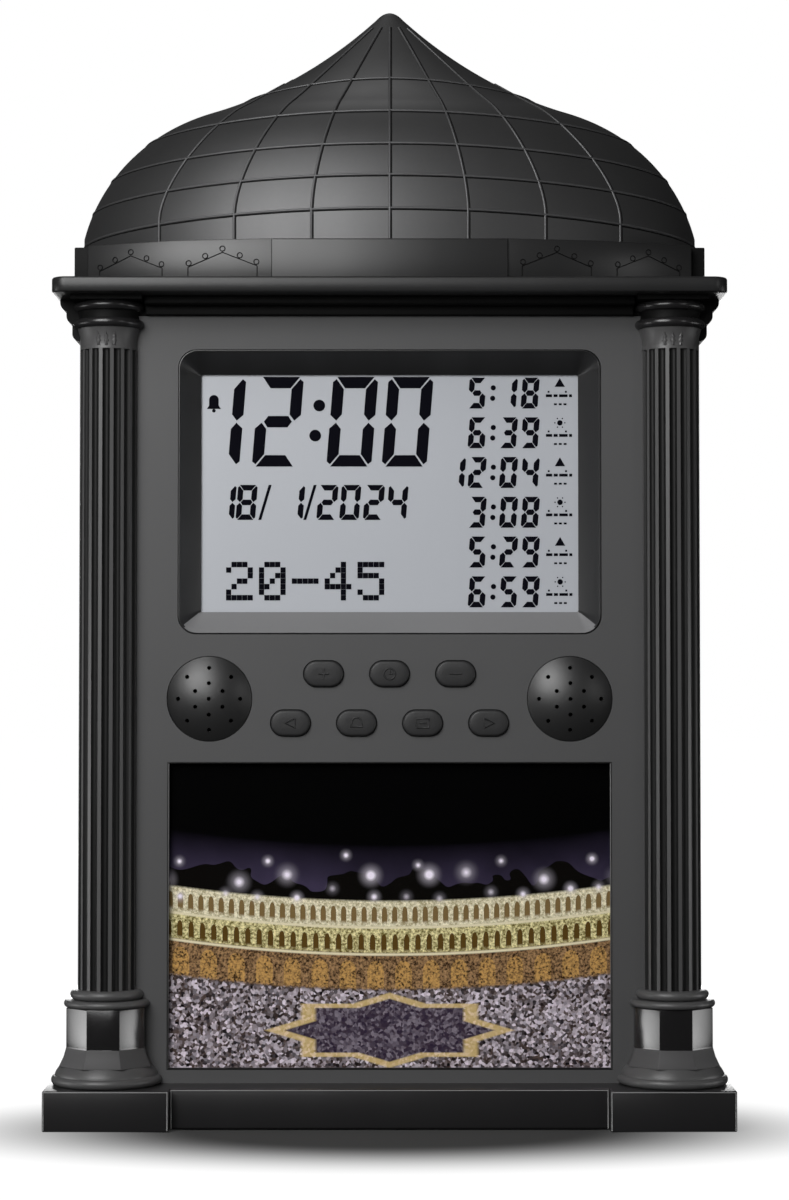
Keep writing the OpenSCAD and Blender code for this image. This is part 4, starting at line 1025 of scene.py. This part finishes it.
def numeral(shape, digit, left, bottom, width, height, s, gap, slant=0.08):
    """Adds the segments, s wide, of one slanted numeral."""
    middle = height / 2
    start = s * 0.25 + gap
    inner = s + gap
    outlines = {
        "a": [(start, height), (width - start, height), (width - inner, height - s), (inner, height - s)],
        "f": [(0, height - s * 0.45), (s * 0.3, height - s * 0.2), (s, height - inner),
              (s, middle + s * 0.55 + gap), (s * 0.55, middle + gap), (0, middle + s * 0.5 + gap)],
        "g": [(s * 0.65 + gap, middle), (inner, middle + s / 2), (width - inner, middle + s / 2),
              (width - s * 0.65 - gap, middle), (width - inner, middle - s / 2), (inner, middle - s / 2)],
    }
    # the lower and the right segments mirror the upper and the left ones
    for segment, twin in (("d", "a"), ("e", "f")):
        outlines[segment] = [(x, height - z) for x, z in outlines[twin]]
    for segment, twin in (("b", "f"), ("c", "e")):
        outlines[segment] = [(width - x, z) for x, z in outlines[twin]]
    for segment in SEGMENTS[digit]:
        ink(shape, [(left + x + slant * z, bottom + z) for x, z in outlines[segment]])


class CLOCK_OT_display(bpy.types.Operator):
    """Finish the liquid crystal cell and set its numerals"""
    bl_idname = "clock.display"
    bl_label = "Display"

    # Places are millimetres from the middle of the display
    # Numerals: height, width, stroke, and height of their foot
    clock_style = (24.4, 12.2, 3.1, 7.3)
    date_style = (9.5, 5.3, 1.5, -7.2)
    time_style = (8.4, 4.6, 1.5, 23.1)
    # Each digit and its left edge
    clock_digits = (("1", -53.0), ("2", -37.4), ("0", -17.2), ("0", -2.2))
    date_digits = (
        ("1", -47.5), ("8", -41.8), ("1", -28.9), ("2", -19.9), ("0", -13.7), ("2", -7.3), ("4", -0.9))
    time_lefts = (15.5, 21.1, 29.6, 35.5)
    time_rows = (" 518", " 639", "1204", " 308", " 529", " 659")
    time_pitch = 10.8
    small_gap = 0.3
    mark_x = 46.2
    # A broken bar with two dots above it and three short dashes below: left edge, height over the foot, size
    side_bars = (
        (42.4, 3.1, 1.7, 0.75), (44.5, 3.1, 1.1, 0.75), (46.0, 3.1, 2.3, 0.75), (48.7, 3.1, 0.8, 0.75),
        (42.9, 4.3, 0.5, 0.5), (47.6, 4.3, 0.5, 0.5),
        (44.6, 0.9, 0.8, 0.5), (45.9, 0.9, 0.8, 0.5), (47.2, 0.9, 0.8, 0.5))
    # Dots: left and low edge of the first, size, pitch across and up, pitch of the characters
    dot_left = -44.3
    dot_foot = -29.0
    dot_size = 1.4
    dot_pitch = (1.46, 1.5)
    character_pitch = 8.9

    def execute(self, context):
        gap = context.scene.clock_sizes.segment_gap * 1000
        paint("Display cell", "lcd_glass")
        paint("Reflector white", "lcd_reflector")
        self.clock(gap)
        self.date(gap * self.small_gap)
        self.times(gap * self.small_gap)
        self.matrix()
        return {"FINISHED"}

    def line(self, shape, digits, style, gap, down=0.0):
        """Sets a line of numerals, and gives the height of its foot."""
        height, width, stroke, up = style
        bottom = DISPLAY_Z + up - down
        for digit, left in digits:
            if digit != " ":
                numeral(shape, digit, left, bottom, width, height, stroke, gap)
        return bottom

    def clock(self, gap):
        shape = Shape()
        height = self.clock_style[0]
        bottom = self.line(shape, self.clock_digits, self.clock_style, gap)
        for up, x in ((0.68, -19.1), (0.345, -20.2)):
            spot(shape, x, bottom + height * up, 1.6)
        # a small bell in the place of a letter
        bell_x, bell_z = -47.7, bottom + height * 0.72
        bell = [(-1.9, -1.9), (1.9, -1.9), (1.3, -1.0)] + arc(0, 0.6, 1.3, 0, 180, 10) + [(-1.3, -1.0)]
        ink(shape, [(bell_x + x, bell_z + z) for x, z in bell])
        spot(shape, bell_x, bell_z - 2.4, 0.5, 12)
        shape.ride("numerals_clock", "Display ink", "display_cell", sharp=30)

    def date(self, gap):
        shape = Shape()
        bottom = self.line(shape, self.date_digits, self.date_style, gap)
        top = bottom + self.date_style[0]
        for left in (-35.6, -23.4):
            ink(shape, [(left, bottom), (left + 0.8, bottom), (left + 3.6, top), (left + 2.8, top)])
        shape.ride("numerals_date", "Display ink", "display_cell", sharp=30)

    def times(self, gap):
        shape = Shape()
        for row, text in enumerate(self.time_rows):
            bottom = self.line(shape, zip(text, self.time_lefts), self.time_style, gap, row * self.time_pitch)
            for up in (0.33, 0.67):
                spot(shape, 27.8 + 0.5 * up, bottom + self.time_style[0] * up, 0.72, 12)
            if row % 2:
                self.sun(shape, bottom + 6.9)
            else:
                ink(shape, [(self.mark_x - 1.4, bottom + 5.9), (self.mark_x + 1.4, bottom + 5.9),
                            (self.mark_x, bottom + 8.3)])
            for x, up, length, height in self.side_bars:
                bar(shape, x, bottom + up, length, height)
        shape.ride("numerals_times", "Display ink", "display_cell", sharp=30)

    def sun(self, shape, z):
        spot(shape, self.mark_x, z, 0.75, 12)
        for x, ray_z in arc(self.mark_x, z, 1.35, 0, 300, 5):
            spot(shape, x, ray_z, 0.2, 6)

    def matrix(self):
        half = self.dot_size / 2
        points = []
        for place, character in enumerate("20-45"):
            for row, bits in enumerate(DOT_ROWS[character].split()):
                for column, bit in enumerate(bits):
                    x = self.dot_left + place * self.character_pitch + column * self.dot_pitch[0] + half
                    z = DISPLAY_Z + self.dot_foot + (6 - row) * self.dot_pitch[1] + half
                    if bit == "1":
                        points.append([(x, GLASS_Y - 0.04, z)])
        tile = (self.dot_size * MM, 0.00005, self.dot_size * 1.04 * MM)
        ride(grow(wire("numerals_matrix", points), dots_tree(), "Display ink", size=tile))


# ---- keys

# Generic raised marks of the seven keys, as lines about the key's middle
KEY_MARKS = (
    [[(-1.4, 0), (1.4, 0)], [(0, -1.4), (0, 1.4)]],
    [arc(0, 0, 1.5, 0, 360, 24), [(0, 0), (0, 1.0)], [(0, 0), (0.8, 0)]],
    [[(-1.6, 0), (1.6, 0)]],
    [[(1.2, 1.3), (-1.4, 0), (1.2, -1.3), (1.2, 1.3)]],
    [arc(0, 0.2, 1.3, 0, 180, 14) + [(-1.6, -1.0), (1.6, -1.0), (1.3, 0.2)]],
    [[(-1.7, -1.2), (1.7, -1.2), (1.7, 1.2), (-1.7, 1.2), (-1.7, -1.2)], [(-0.9, 0), (0.9, 0)]],
    [[(-1.2, 1.3), (1.4, 0), (-1.2, -1.3), (-1.2, 1.3)]],
)


class CLOCK_OT_keys(bpy.types.Operator):
    """Build the seven keys with their raised marks"""
    bl_idname = "clock.keys"
    bl_label = "Keys"

    cap_w = 10.7
    cap_h = 7.0
    # Rings of a cap, from its top to its flange: how much smaller than the cap, and how deep
    levels = (
        (5.0, 0.0), (1.4, 0.02), (0.7, 0.1), (0.25, 0.3), (0.0, 0.7), (0.0, 3.5), (-2.6, 3.5), (-2.6, 4.5))

    def execute(self, context):
        for index, marks in enumerate(KEY_MARKS):
            number = str(index + 1)
            node = "key_" + number
            x, _, z = middle_mm(node)
            top = box_mm(node)[0][1]
            shape = Shape()
            rings = []
            for smaller, y in self.levels:
                outline = pill(self.cap_w - smaller, self.cap_h - smaller)
                rings.append([(x + px, top + y, z + pz) for px, pz in outline])
            shape.loft(rings)
            shape.ride("cap_" + number, "Key plastic", "key_grey", node, node + "_body", sharp=40)
            lines = [[(x + px, top - 0.02, z + pz) for px, pz in line] for line in marks]
            ribs("cap_mark_" + number, lines, 0.00024, 8, "Key plastic", body=node + "_body")
        return {"FINISHED"}


# ---- grilles

class CLOCK_OT_grilles(bpy.types.Operator):
    """Finish the two domed loudspeaker grilles and what is seen through their holes"""
    bl_idname = "clock.grilles"
    bl_label = "Grilles"

    def execute(self, context):
        paint("Grille plastic", "grille_left", "grille_right")
        paint("Cone paper", "speaker_cones")
        paint("Speaker steel", "speaker_frames", "speaker_magnets", "speaker_retainers")
        return {"FINISHED"}


# ---- picture

def mix(factor, a, b):
    """Colour a, or b where the factor is 1."""
    a, b = [(*colour, 1) if isinstance(colour, tuple) else colour for colour in (a, b)]
    return add(factor.socket.id_data, "ShaderNodeMix", {0: factor, 6: a, 7: b}, data_type="RGBA").outputs[2]


def colour_parts(colour):
    """Red, green and blue of a colour."""
    return [Field(part) for part in add(colour.id_data, "ShaderNodeSeparateColor", {"Color": colour}).outputs]


def place_parts(place):
    """X, Y and Z of a place."""
    return [Field(part) for part in add(place.id_data, "ShaderNodeSeparateXYZ", {"Vector": place}).outputs]


def spread(value, low, high):
    """0 at one level and 1 at the other."""
    levels = {"Value": value, "From Min": low, "From Max": high}
    return Field(add(value.socket.id_data, "ShaderNodeMapRange", levels).outputs["Result"])


def band(value, low, high, soft=0.006):
    """1 between two levels with soft edges."""
    return spread(value, low - soft, low + soft) * spread(value, high + soft, high - soft)


def near_point(dx, dy, size):
    """1 at a point, fading to 0 at a distance of size from it."""
    distance = (dx * dx + dy * dy).calc("SQRT")
    return (1.0 - distance / size).calc("MAXIMUM", 0.0)


def lamp_row(u, v, count, level, size, seed):
    """Lamps along a level, one in each cell of the row, with their places and strengths strewn."""
    cell = (u * count).calc("FLOOR") + seed
    strewn = add(cell.socket.id_data, "ShaderNodeTexWhiteNoise", noise_dimensions="1D")
    feed(strewn.inputs["W"], cell)
    aside, up, strength = colour_parts(strewn.outputs["Color"])
    dx = (u * count).calc("FRACT") - (aside * 0.5 + 0.25)
    dy = (v - (up * 0.05 + level)) * count
    core = near_point(dx, dy, size * 0.6).calc("POWER", 1.2)
    # the halo stays inside the lamp's cell
    halo = near_point(dx, dy, size * 1.5).calc("POWER", 2.0) * 0.55
    return (core + halo) * (strength * 0.9 + 0.35)


def arches(u, v, count, low, high, width):
    """1 inside a row of round-headed openings between two levels."""
    across = ((u * count).calc("FRACT") - 0.5).calc("ABSOLUTE") / width
    spring = low + (high - low) * 0.55
    above = ((v - spring) / ((high - low) * 0.4)).calc("MAXIMUM", 0.0)
    inside = (across * across + above * above).calc("LESS_THAN", 1.0)
    return inside * band(v, low, high)


def pavement(place, u, v):
    """Small grey and mauve stones, with an eight-pointed star laid in them."""
    cells = add(place.id_data, "ShaderNodeTexVoronoi", {"Vector": place, "Scale": 1350.0})
    light, warm, _ = colour_parts(cells.outputs["Color"])
    stones = mix(light.calc("POWER", 2.2), (0.003, 0.002, 0.004), (0.8, 0.72, 0.82))
    stones = mix(warm * 0.18, stones, (0.45, 0.3, 0.24))
    across = (u * 3.3).calc("ABSOLUTE")
    along = ((v - 0.125) * 11.0).calc("ABSOLUTE")
    square = across.calc("MAXIMUM", along)
    star = square.calc("MINIMUM", (across + along) * 0.7071)
    stones = mix(star.calc("LESS_THAN", 0.8) * 0.72, stones, (0.035, 0.022, 0.05))
    return mix(band(star, 0.8, 0.95, 0.02) * 0.7, stones, (0.8, 0.58, 0.24))


@once("materials", "Picture print")
def picture_print(name):
    """A plain arcade at night over a mosaic floor. u and v count the card's height from its lower middle."""
    material, tree, shader = new_material(name)
    place = object_place(tree)
    card_height = (CARD_HIGH[2] - CARD_LOW[2]) * MM
    x, _, z = place_parts(place)
    u = x / card_height
    v = (z - CARD_LOW[2] * MM) / card_height
    fine = spread(noise(place, 1500.0, 3.0, 0.7), 0.36, 0.64)
    # the square bends away at both ends
    level = v - u * u * 0.1
    # sky: black with a dim violet glow low down
    glow = band(level, 0.5, 0.66, 0.07) * noise(place, 45.0, 4.0)
    colour = mix(glow, (0.0002, 0.0002, 0.0003), (0.07, 0.055, 0.11))
    # trees as dark rounded crowns against the glow
    crowns = (noise(place, 110.0, 1.0) * 0.22 + 0.5).calc("GREATER_THAN", level)
    colour = mix(crowns, colour, (0.003, 0.0025, 0.002))
    # pale upper storey
    stone = mix(fine, (0.38, 0.33, 0.18), (0.95, 0.88, 0.66))
    colour = mix(band(level, 0.46, 0.545, 0.004), colour, stone)
    colour = mix(arches(u, level, 30.0, 0.475, 0.53, 0.26), colour, (0.2, 0.13, 0.05))
    # golden arcade in two storeys
    gold = mix(fine, (0.13, 0.1, 0.015), (0.95, 0.86, 0.46))
    colour = mix(band(level, 0.375, 0.46, 0.004), colour, gold)
    colour = mix(arches(u, level, 27.0, 0.382, 0.44, 0.24), colour, (0.1, 0.055, 0.012))
    amber = mix(fine, (0.018, 0.007, 0.003), (0.42, 0.25, 0.12))
    colour = mix(band(level, 0.255, 0.375, 0.004), colour, amber)
    colour = mix(arches(u, level, 11.0, 0.262, 0.356, 0.3) * fine, colour, (0.6, 0.34, 0.1))
    ledges = band(level, 0.367, 0.375, 0.002) + band(level, 0.455, 0.463, 0.002)
    colour = mix(ledges, colour, (0.8, 0.72, 0.5))
    # lamps in front of the sky
    for count, height, size, seed in (
            (5.0, 0.6, 0.165, 3.0), (8.0, 0.545, 0.165, 11.0), (4.0, 0.66, 0.07, 23.0)):
        lamps = lamp_row(u, v, count, height, size, seed).calc("MINIMUM", 1.0)
        colour = mix(lamps, colour, (0.95, 0.88, 1.0))
    feed(shader.inputs["Base Color"], mix(band(level, -0.3, 0.255), colour, pavement(place, u, v)))
    feed(shader.inputs["Roughness"], 0.6)
    feed(shader.inputs["Specular IOR Level"], 0.02)
    return material


@once("materials", "Window clear")
def window_clear(name):
    material, tree, shader = new_material(name)
    feed(shader.inputs["Roughness"], noise(object_place(tree), 400.0, 3.0) * 0.05)
    feed(shader.inputs["Base Color"], (0.002, 0.002, 0.002, 1))
    feed(shader.inputs["Alpha"], 0.04)
    feed(shader.inputs["Specular IOR Level"], 0.2)
    return material


class CLOCK_OT_picture(bpy.types.Operator):
    """Finish the picture card, its clear window and the window's thin rim"""
    bl_idname = "clock.picture"
    bl_label = "Picture"

    rim_width = 0.5

    def execute(self, context):
        paint(picture_print(), "picture_card")
        paint(window_clear(), "picture_window")
        paint("Backing white", "picture_backing")
        rings = []
        for share, y in ((0, 0.02), (0, 1.15), (1, 1.15), (1, 0.27), (0.5, 0.02)):
            inset = self.rim_width * share
            x = WINDOW_W / 2 - inset
            outline = rectangle(-x, CARD_LOW[2] + inset, x, CARD_HIGH[2] - inset)
            rings.append([(px, PANEL_Y + y, pz) for px, pz in outline])
        border = Shape()
        border.loft_closed(rings)
        border.ride("picture_rim", "Rim black", "case_grey", sharp=30)
        return {"FINISHED"}


# ---- rear

@once("materials", "Cell sleeve")
def cell_sleeve(name):
    """A plain green sleeve with bare metal ends."""
    material, tree, shader = new_material(name)
    place = object_place(tree)
    end = place_parts(place)[0].calc("ABSOLUTE").calc("GREATER_THAN", 0.0238)
    sleeve = mix(noise(place, 90.0), (0.02, 0.14, 0.07), (0.03, 0.2, 0.1))
    feed(shader.inputs["Base Color"], mix(end, sleeve, (0.6, 0.6, 0.62)))
    feed(shader.inputs["Metallic"], end)
    feed(shader.inputs["Roughness"], 0.3)
    return material


class CLOCK_OT_rear(bpy.types.Operator):
    """Finish the rear cover, the battery bay, the sockets and the screws"""
    bl_idname = "clock.rear"
    bl_label = "Rear"

    cells = 3
    cell_width = 14.2
    coil_turns = 4
    coil_radii = (4.6, 2.5)
    coil_length = 2.7
    coil_wire = 0.35

    def execute(self, context):
        paint("Rear plastic", "rear_cover", "battery_door", "base_plate", "dome_frame")
        paint("Socket plastic", "power_socket", "volume_slider")
        paint("Plated steel", "cover_screws", "tie_screws", "plinth_screws", "column_screws", "inner_screws",
              "socket_pin", "volume_switch", "battery_contacts")
        paint(cell_sleeve(), "batteries")
        self.springs()
        self.grip()
        self.marks()
        return {"FINISHED"}

    def springs(self):
        """Wound cone springs at the flat ends of the cells."""
        low, high = box_mm("battery_springs")
        cells_low, cells_high = box_mm("batteries")
        pitch = (cells_high[2] - cells_low[2] - self.cell_width) / (self.cells - 1)
        y = (low[1] + high[1]) / 2
        wide, narrow = self.coil_radii
        steps = self.coil_turns * 24
        paths = []
        for i in range(self.cells):
            side, foot = (1, high[0]) if i % 2 else (-1, low[0])
            z = cells_low[2] + self.cell_width / 2 + i * pitch
            path = []
            for step in range(steps + 1):
                t = step / steps
                a = 2 * math.pi * self.coil_turns * t
                r = wide + (narrow - wide) * t
                x = foot - side * (self.coil_wire + self.coil_length * t)
                path.append((x, y + r * math.cos(a), z + r * math.sin(a)))
            paths.append(path)
        ribs("contact_coils", paths, self.coil_wire * MM, 8, "Plated steel",
             "battery_springs")

    def grip(self):
        """Raised grip bars and an arrow on the battery door."""
        y = DOOR_HIGH[1] + 0.02
        top = DOOR_HIGH[2] - 9.0
        bars = [[(-11.0, y, top - 1.8 * i), (11.0, y, top - 1.8 * i)] for i in range(5)]
        bars.append([(-3.0, y, top - 10.5), (0.0, y, top - 13.5), (3.0, y, top - 10.5)])
        ribs("door_grip", bars, 0.00035, 8, "Rear plastic", body="battery_door_body")

    def marks(self):
        """A raised line round the bay, a ring and a plus at the socket, and a wedge over the slider."""
        socket_x, _, socket_z = middle_mm("power_socket")
        slider_x = middle_mm("volume_slider")[0]
        side = DOOR_HIGH[0] + 4.0
        bay = rectangle(-side, DOOR_LOW[2] - 3.5, side, DOOR_HIGH[2] + 4.0)
        z = box_mm("power_socket")[1][2] + 4.5
        lines = [
            bay + bay[:1],
            arc(socket_x, socket_z, 6.4, 0, 360, 40),
            [(socket_x - 1.4, z + 3), (socket_x + 1.4, z + 3)],
            [(socket_x, z + 1.6), (socket_x, z + 4.4)],
            [(slider_x - 6, z), (slider_x + 6, z), (slider_x - 6, z + 3), (slider_x - 6, z)],
        ]
        paths = [[(px, BACK_Y - 0.12, pz) for px, pz in line] for line in lines]
        ribs("cover_marks", paths, 0.00028, 8, "Rear plastic")


# ---- inside

class CLOCK_OT_inside(bpy.types.Operator):
    """Finish the boards, the rubber parts and the cable inside the case"""
    bl_idname = "clock.inside"
    bl_label = "Inside"

    def execute(self, context):
        paint("Solder mask", "main_board", "key_board")
        paint("Dark rubber", "lcd_connectors", "key_mat")
        paint("Chip epoxy", "main_board_parts")
        paint("Cable film", "board_ribbon")
        return {"FINISHED"}


# ---- stage

def seen_directly(tree):
    """1 for what the camera sees, also through the clear window."""
    path = add(tree, "ShaderNodeLightPath")
    return Field(path.outputs["Is Camera Ray"]).calc("MAXIMUM", path.outputs["Is Transmission Ray"])


class CLOCK_OT_stage(bpy.types.Operator):
    """Set the floor, the studio lights, the world and the camera"""
    bl_idname = "clock.stage"
    bl_label = "Stage"

    # The camera stands in front of the panel, below the display, and looks slightly up
    camera_distance = 750.0
    camera_height = 114.9
    camera_pitch = 1.887
    camera_turn = 0.1
    frame_height = 321.9
    # The painted soft shadow round the plinth reaches this far along each axis, in metres
    shadow_reach = (0.094, 0.051, 1.0)
    shadow_middle = (0.0, -0.024, 0.0)
    # Name, place, width, height, watts, and angle the light fans out to
    softboxes = (
        ("Key softbox", (-0.24, -0.65, 0.4), 0.42, 0.42, 3.5, 180),
        ("Left softbox", (-0.45, -0.6, 0.45), 0.3, 0.3, 1.2, 180),
        ("High softbox", (-0.26, -0.46, 0.66), 0.35, 0.35, 1.9, 180),
        ("Top softbox", (-0.03, 0.25, 0.78), 0.12, 0.2, 0.18, 180),
        ("Left low box", (-0.55, -0.05, 0.03), 0.4, 0.22, 0.17, 50),
        ("Right low box", (0.55, -0.05, 0.03), 0.4, 0.22, 0.13, 50),
        ("Right strip", (0.55, -0.6, 0.28), 0.1, 0.3, 0.35, 180),
        ("Rear softbox", (0.0, 1.4, 0.2), 0.9, 0.5, 9.0, 180),
    )

    def execute(self, context):
        scene = context.scene
        scene.view_settings.view_transform = "Standard"
        self.camera(scene)
        self.floor()
        self.world(scene)
        for softbox in self.softboxes:
            self.light(scene, *softbox)
        return {"FINISHED"}

    def camera(self, scene):
        lens = bpy.data.cameras.new("Camera")
        lens.sensor_fit = "VERTICAL"
        lens.sensor_height = 24.0
        lens.lens = lens.sensor_height * self.camera_distance / self.frame_height
        camera = bpy.data.objects.new("Camera", lens)
        camera.location = (0, (PANEL_Y - self.camera_distance) * MM, self.camera_height * MM)
        camera.rotation_euler = (math.radians(90 + self.camera_pitch), 0, -math.radians(self.camera_turn))
        scene.collection.objects.link(camera)
        scene.camera = camera

    def floor(self):
        """A floor that looks white like the background, but for a soft shadow round the plinth that is
        painted into its glow.
        """
        mesh = bpy.data.meshes.new("floor")
        mesh.from_pydata([(x, y, 0) for x, y in rectangle(-6, -6, 6, 6)], [], [(0, 1, 2, 3)])
        floor = link_object("floor", mesh)
        floor.location.z = -0.0002
        material, tree, _ = new_material("Floor")
        tree.nodes.clear()
        place = object_place(tree)
        offset = add(tree, "ShaderNodeVectorMath", {0: place, 1: self.shadow_middle}, operation="SUBTRACT")
        reach = add(tree, "ShaderNodeVectorMath", {0: offset, 1: self.shadow_reach}, operation="DIVIDE")
        length = add(tree, "ShaderNodeVectorMath", {0: reach}, operation="LENGTH")
        edges = {"Value": length.outputs["Value"], "From Min": 0.55, "From Max": 1.5}
        far = add(tree, "ShaderNodeMapRange", edges, interpolation_type="SMOOTHSTEP")
        glow = add(tree, "ShaderNodeEmission", {"Strength": seen_directly(tree) * far.outputs["Result"]})
        diffuse = add(tree, "ShaderNodeBsdfDiffuse", {"Color": (0.06, 0.06, 0.06, 1)})
        both = add(tree, "ShaderNodeAddShader", {0: diffuse, 1: glow})
        add(tree, "ShaderNodeOutputMaterial", {"Surface": both})
        mesh.materials.append(material)

    def world(self, scene):
        world = bpy.data.worlds.new("Studio")
        world.use_nodes = True
        scene.world = world
        back = world.node_tree.nodes["Background"]
        feed(back.inputs["Color"], (1, 1, 1, 1))
        feed(back.inputs["Strength"], seen_directly(world.node_tree) * 0.97 + 0.03)

    def light(self, scene, name, place, width, height, watts, angle):
        light = bpy.data.lights.new(name, "AREA")
        light.shape = "RECTANGLE"
        light.size = width
        light.size_y = height
        light.energy = watts
        light.spread = math.radians(angle)
        # the low boxes stay level, so that they reach the pedestals only
        target = Vector((0, 0, 0.03 if angle < 180 else 0.15))
        lamp = bpy.data.objects.new(name, light)
        lamp.location = place
        lamp.rotation_euler = (target - Vector(place)).to_track_quat("-Z", "Y").to_euler()
        scene.collection.objects.link(lamp)


# ---- panel and registration

OPERATORS = (
    CLOCK_OT_dome, CLOCK_OT_drum, CLOCK_OT_cornice, CLOCK_OT_columns, CLOCK_OT_plinth, CLOCK_OT_panel,
    CLOCK_OT_display, CLOCK_OT_keys, CLOCK_OT_grilles, CLOCK_OT_picture, CLOCK_OT_rear, CLOCK_OT_inside,
    CLOCK_OT_stage,
)


class CLOCK_PT_sidebar(bpy.types.Panel):
    bl_label = "Prayer Clock"
    bl_idname = "CLOCK_PT_sidebar"
    bl_space_type = "VIEW_3D"
    bl_region_type = "UI"
    bl_category = "Clock"

    def draw(self, context):
        layout = self.layout
        for group in (context.scene.clock_sizes, context.scene.clock_colours):
            box = layout.box()
            for name in group.__annotations__:
                box.prop(group, name)
        for operator in OPERATORS:
            layout.operator(operator.bl_idname)


CLASSES = (ClockSizes, ClockColours) + OPERATORS + (CLOCK_PT_sidebar,)


def register():
    for item in CLASSES:
        bpy.utils.register_class(item)
    bpy.types.Scene.clock_sizes = PointerProperty(type=ClockSizes)
    bpy.types.Scene.clock_colours = PointerProperty(type=ClockColours)


def unregister():
    del bpy.types.Scene.clock_sizes
    del bpy.types.Scene.clock_colours
    for item in reversed(CLASSES):
        bpy.utils.unregister_class(item)


def main():
    register()
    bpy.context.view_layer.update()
    for operator in OPERATORS:
        group, name = operator.bl_idname.split(".")
        getattr(getattr(bpy.ops, group), name)()


if __name__ == "__main__":
    main()
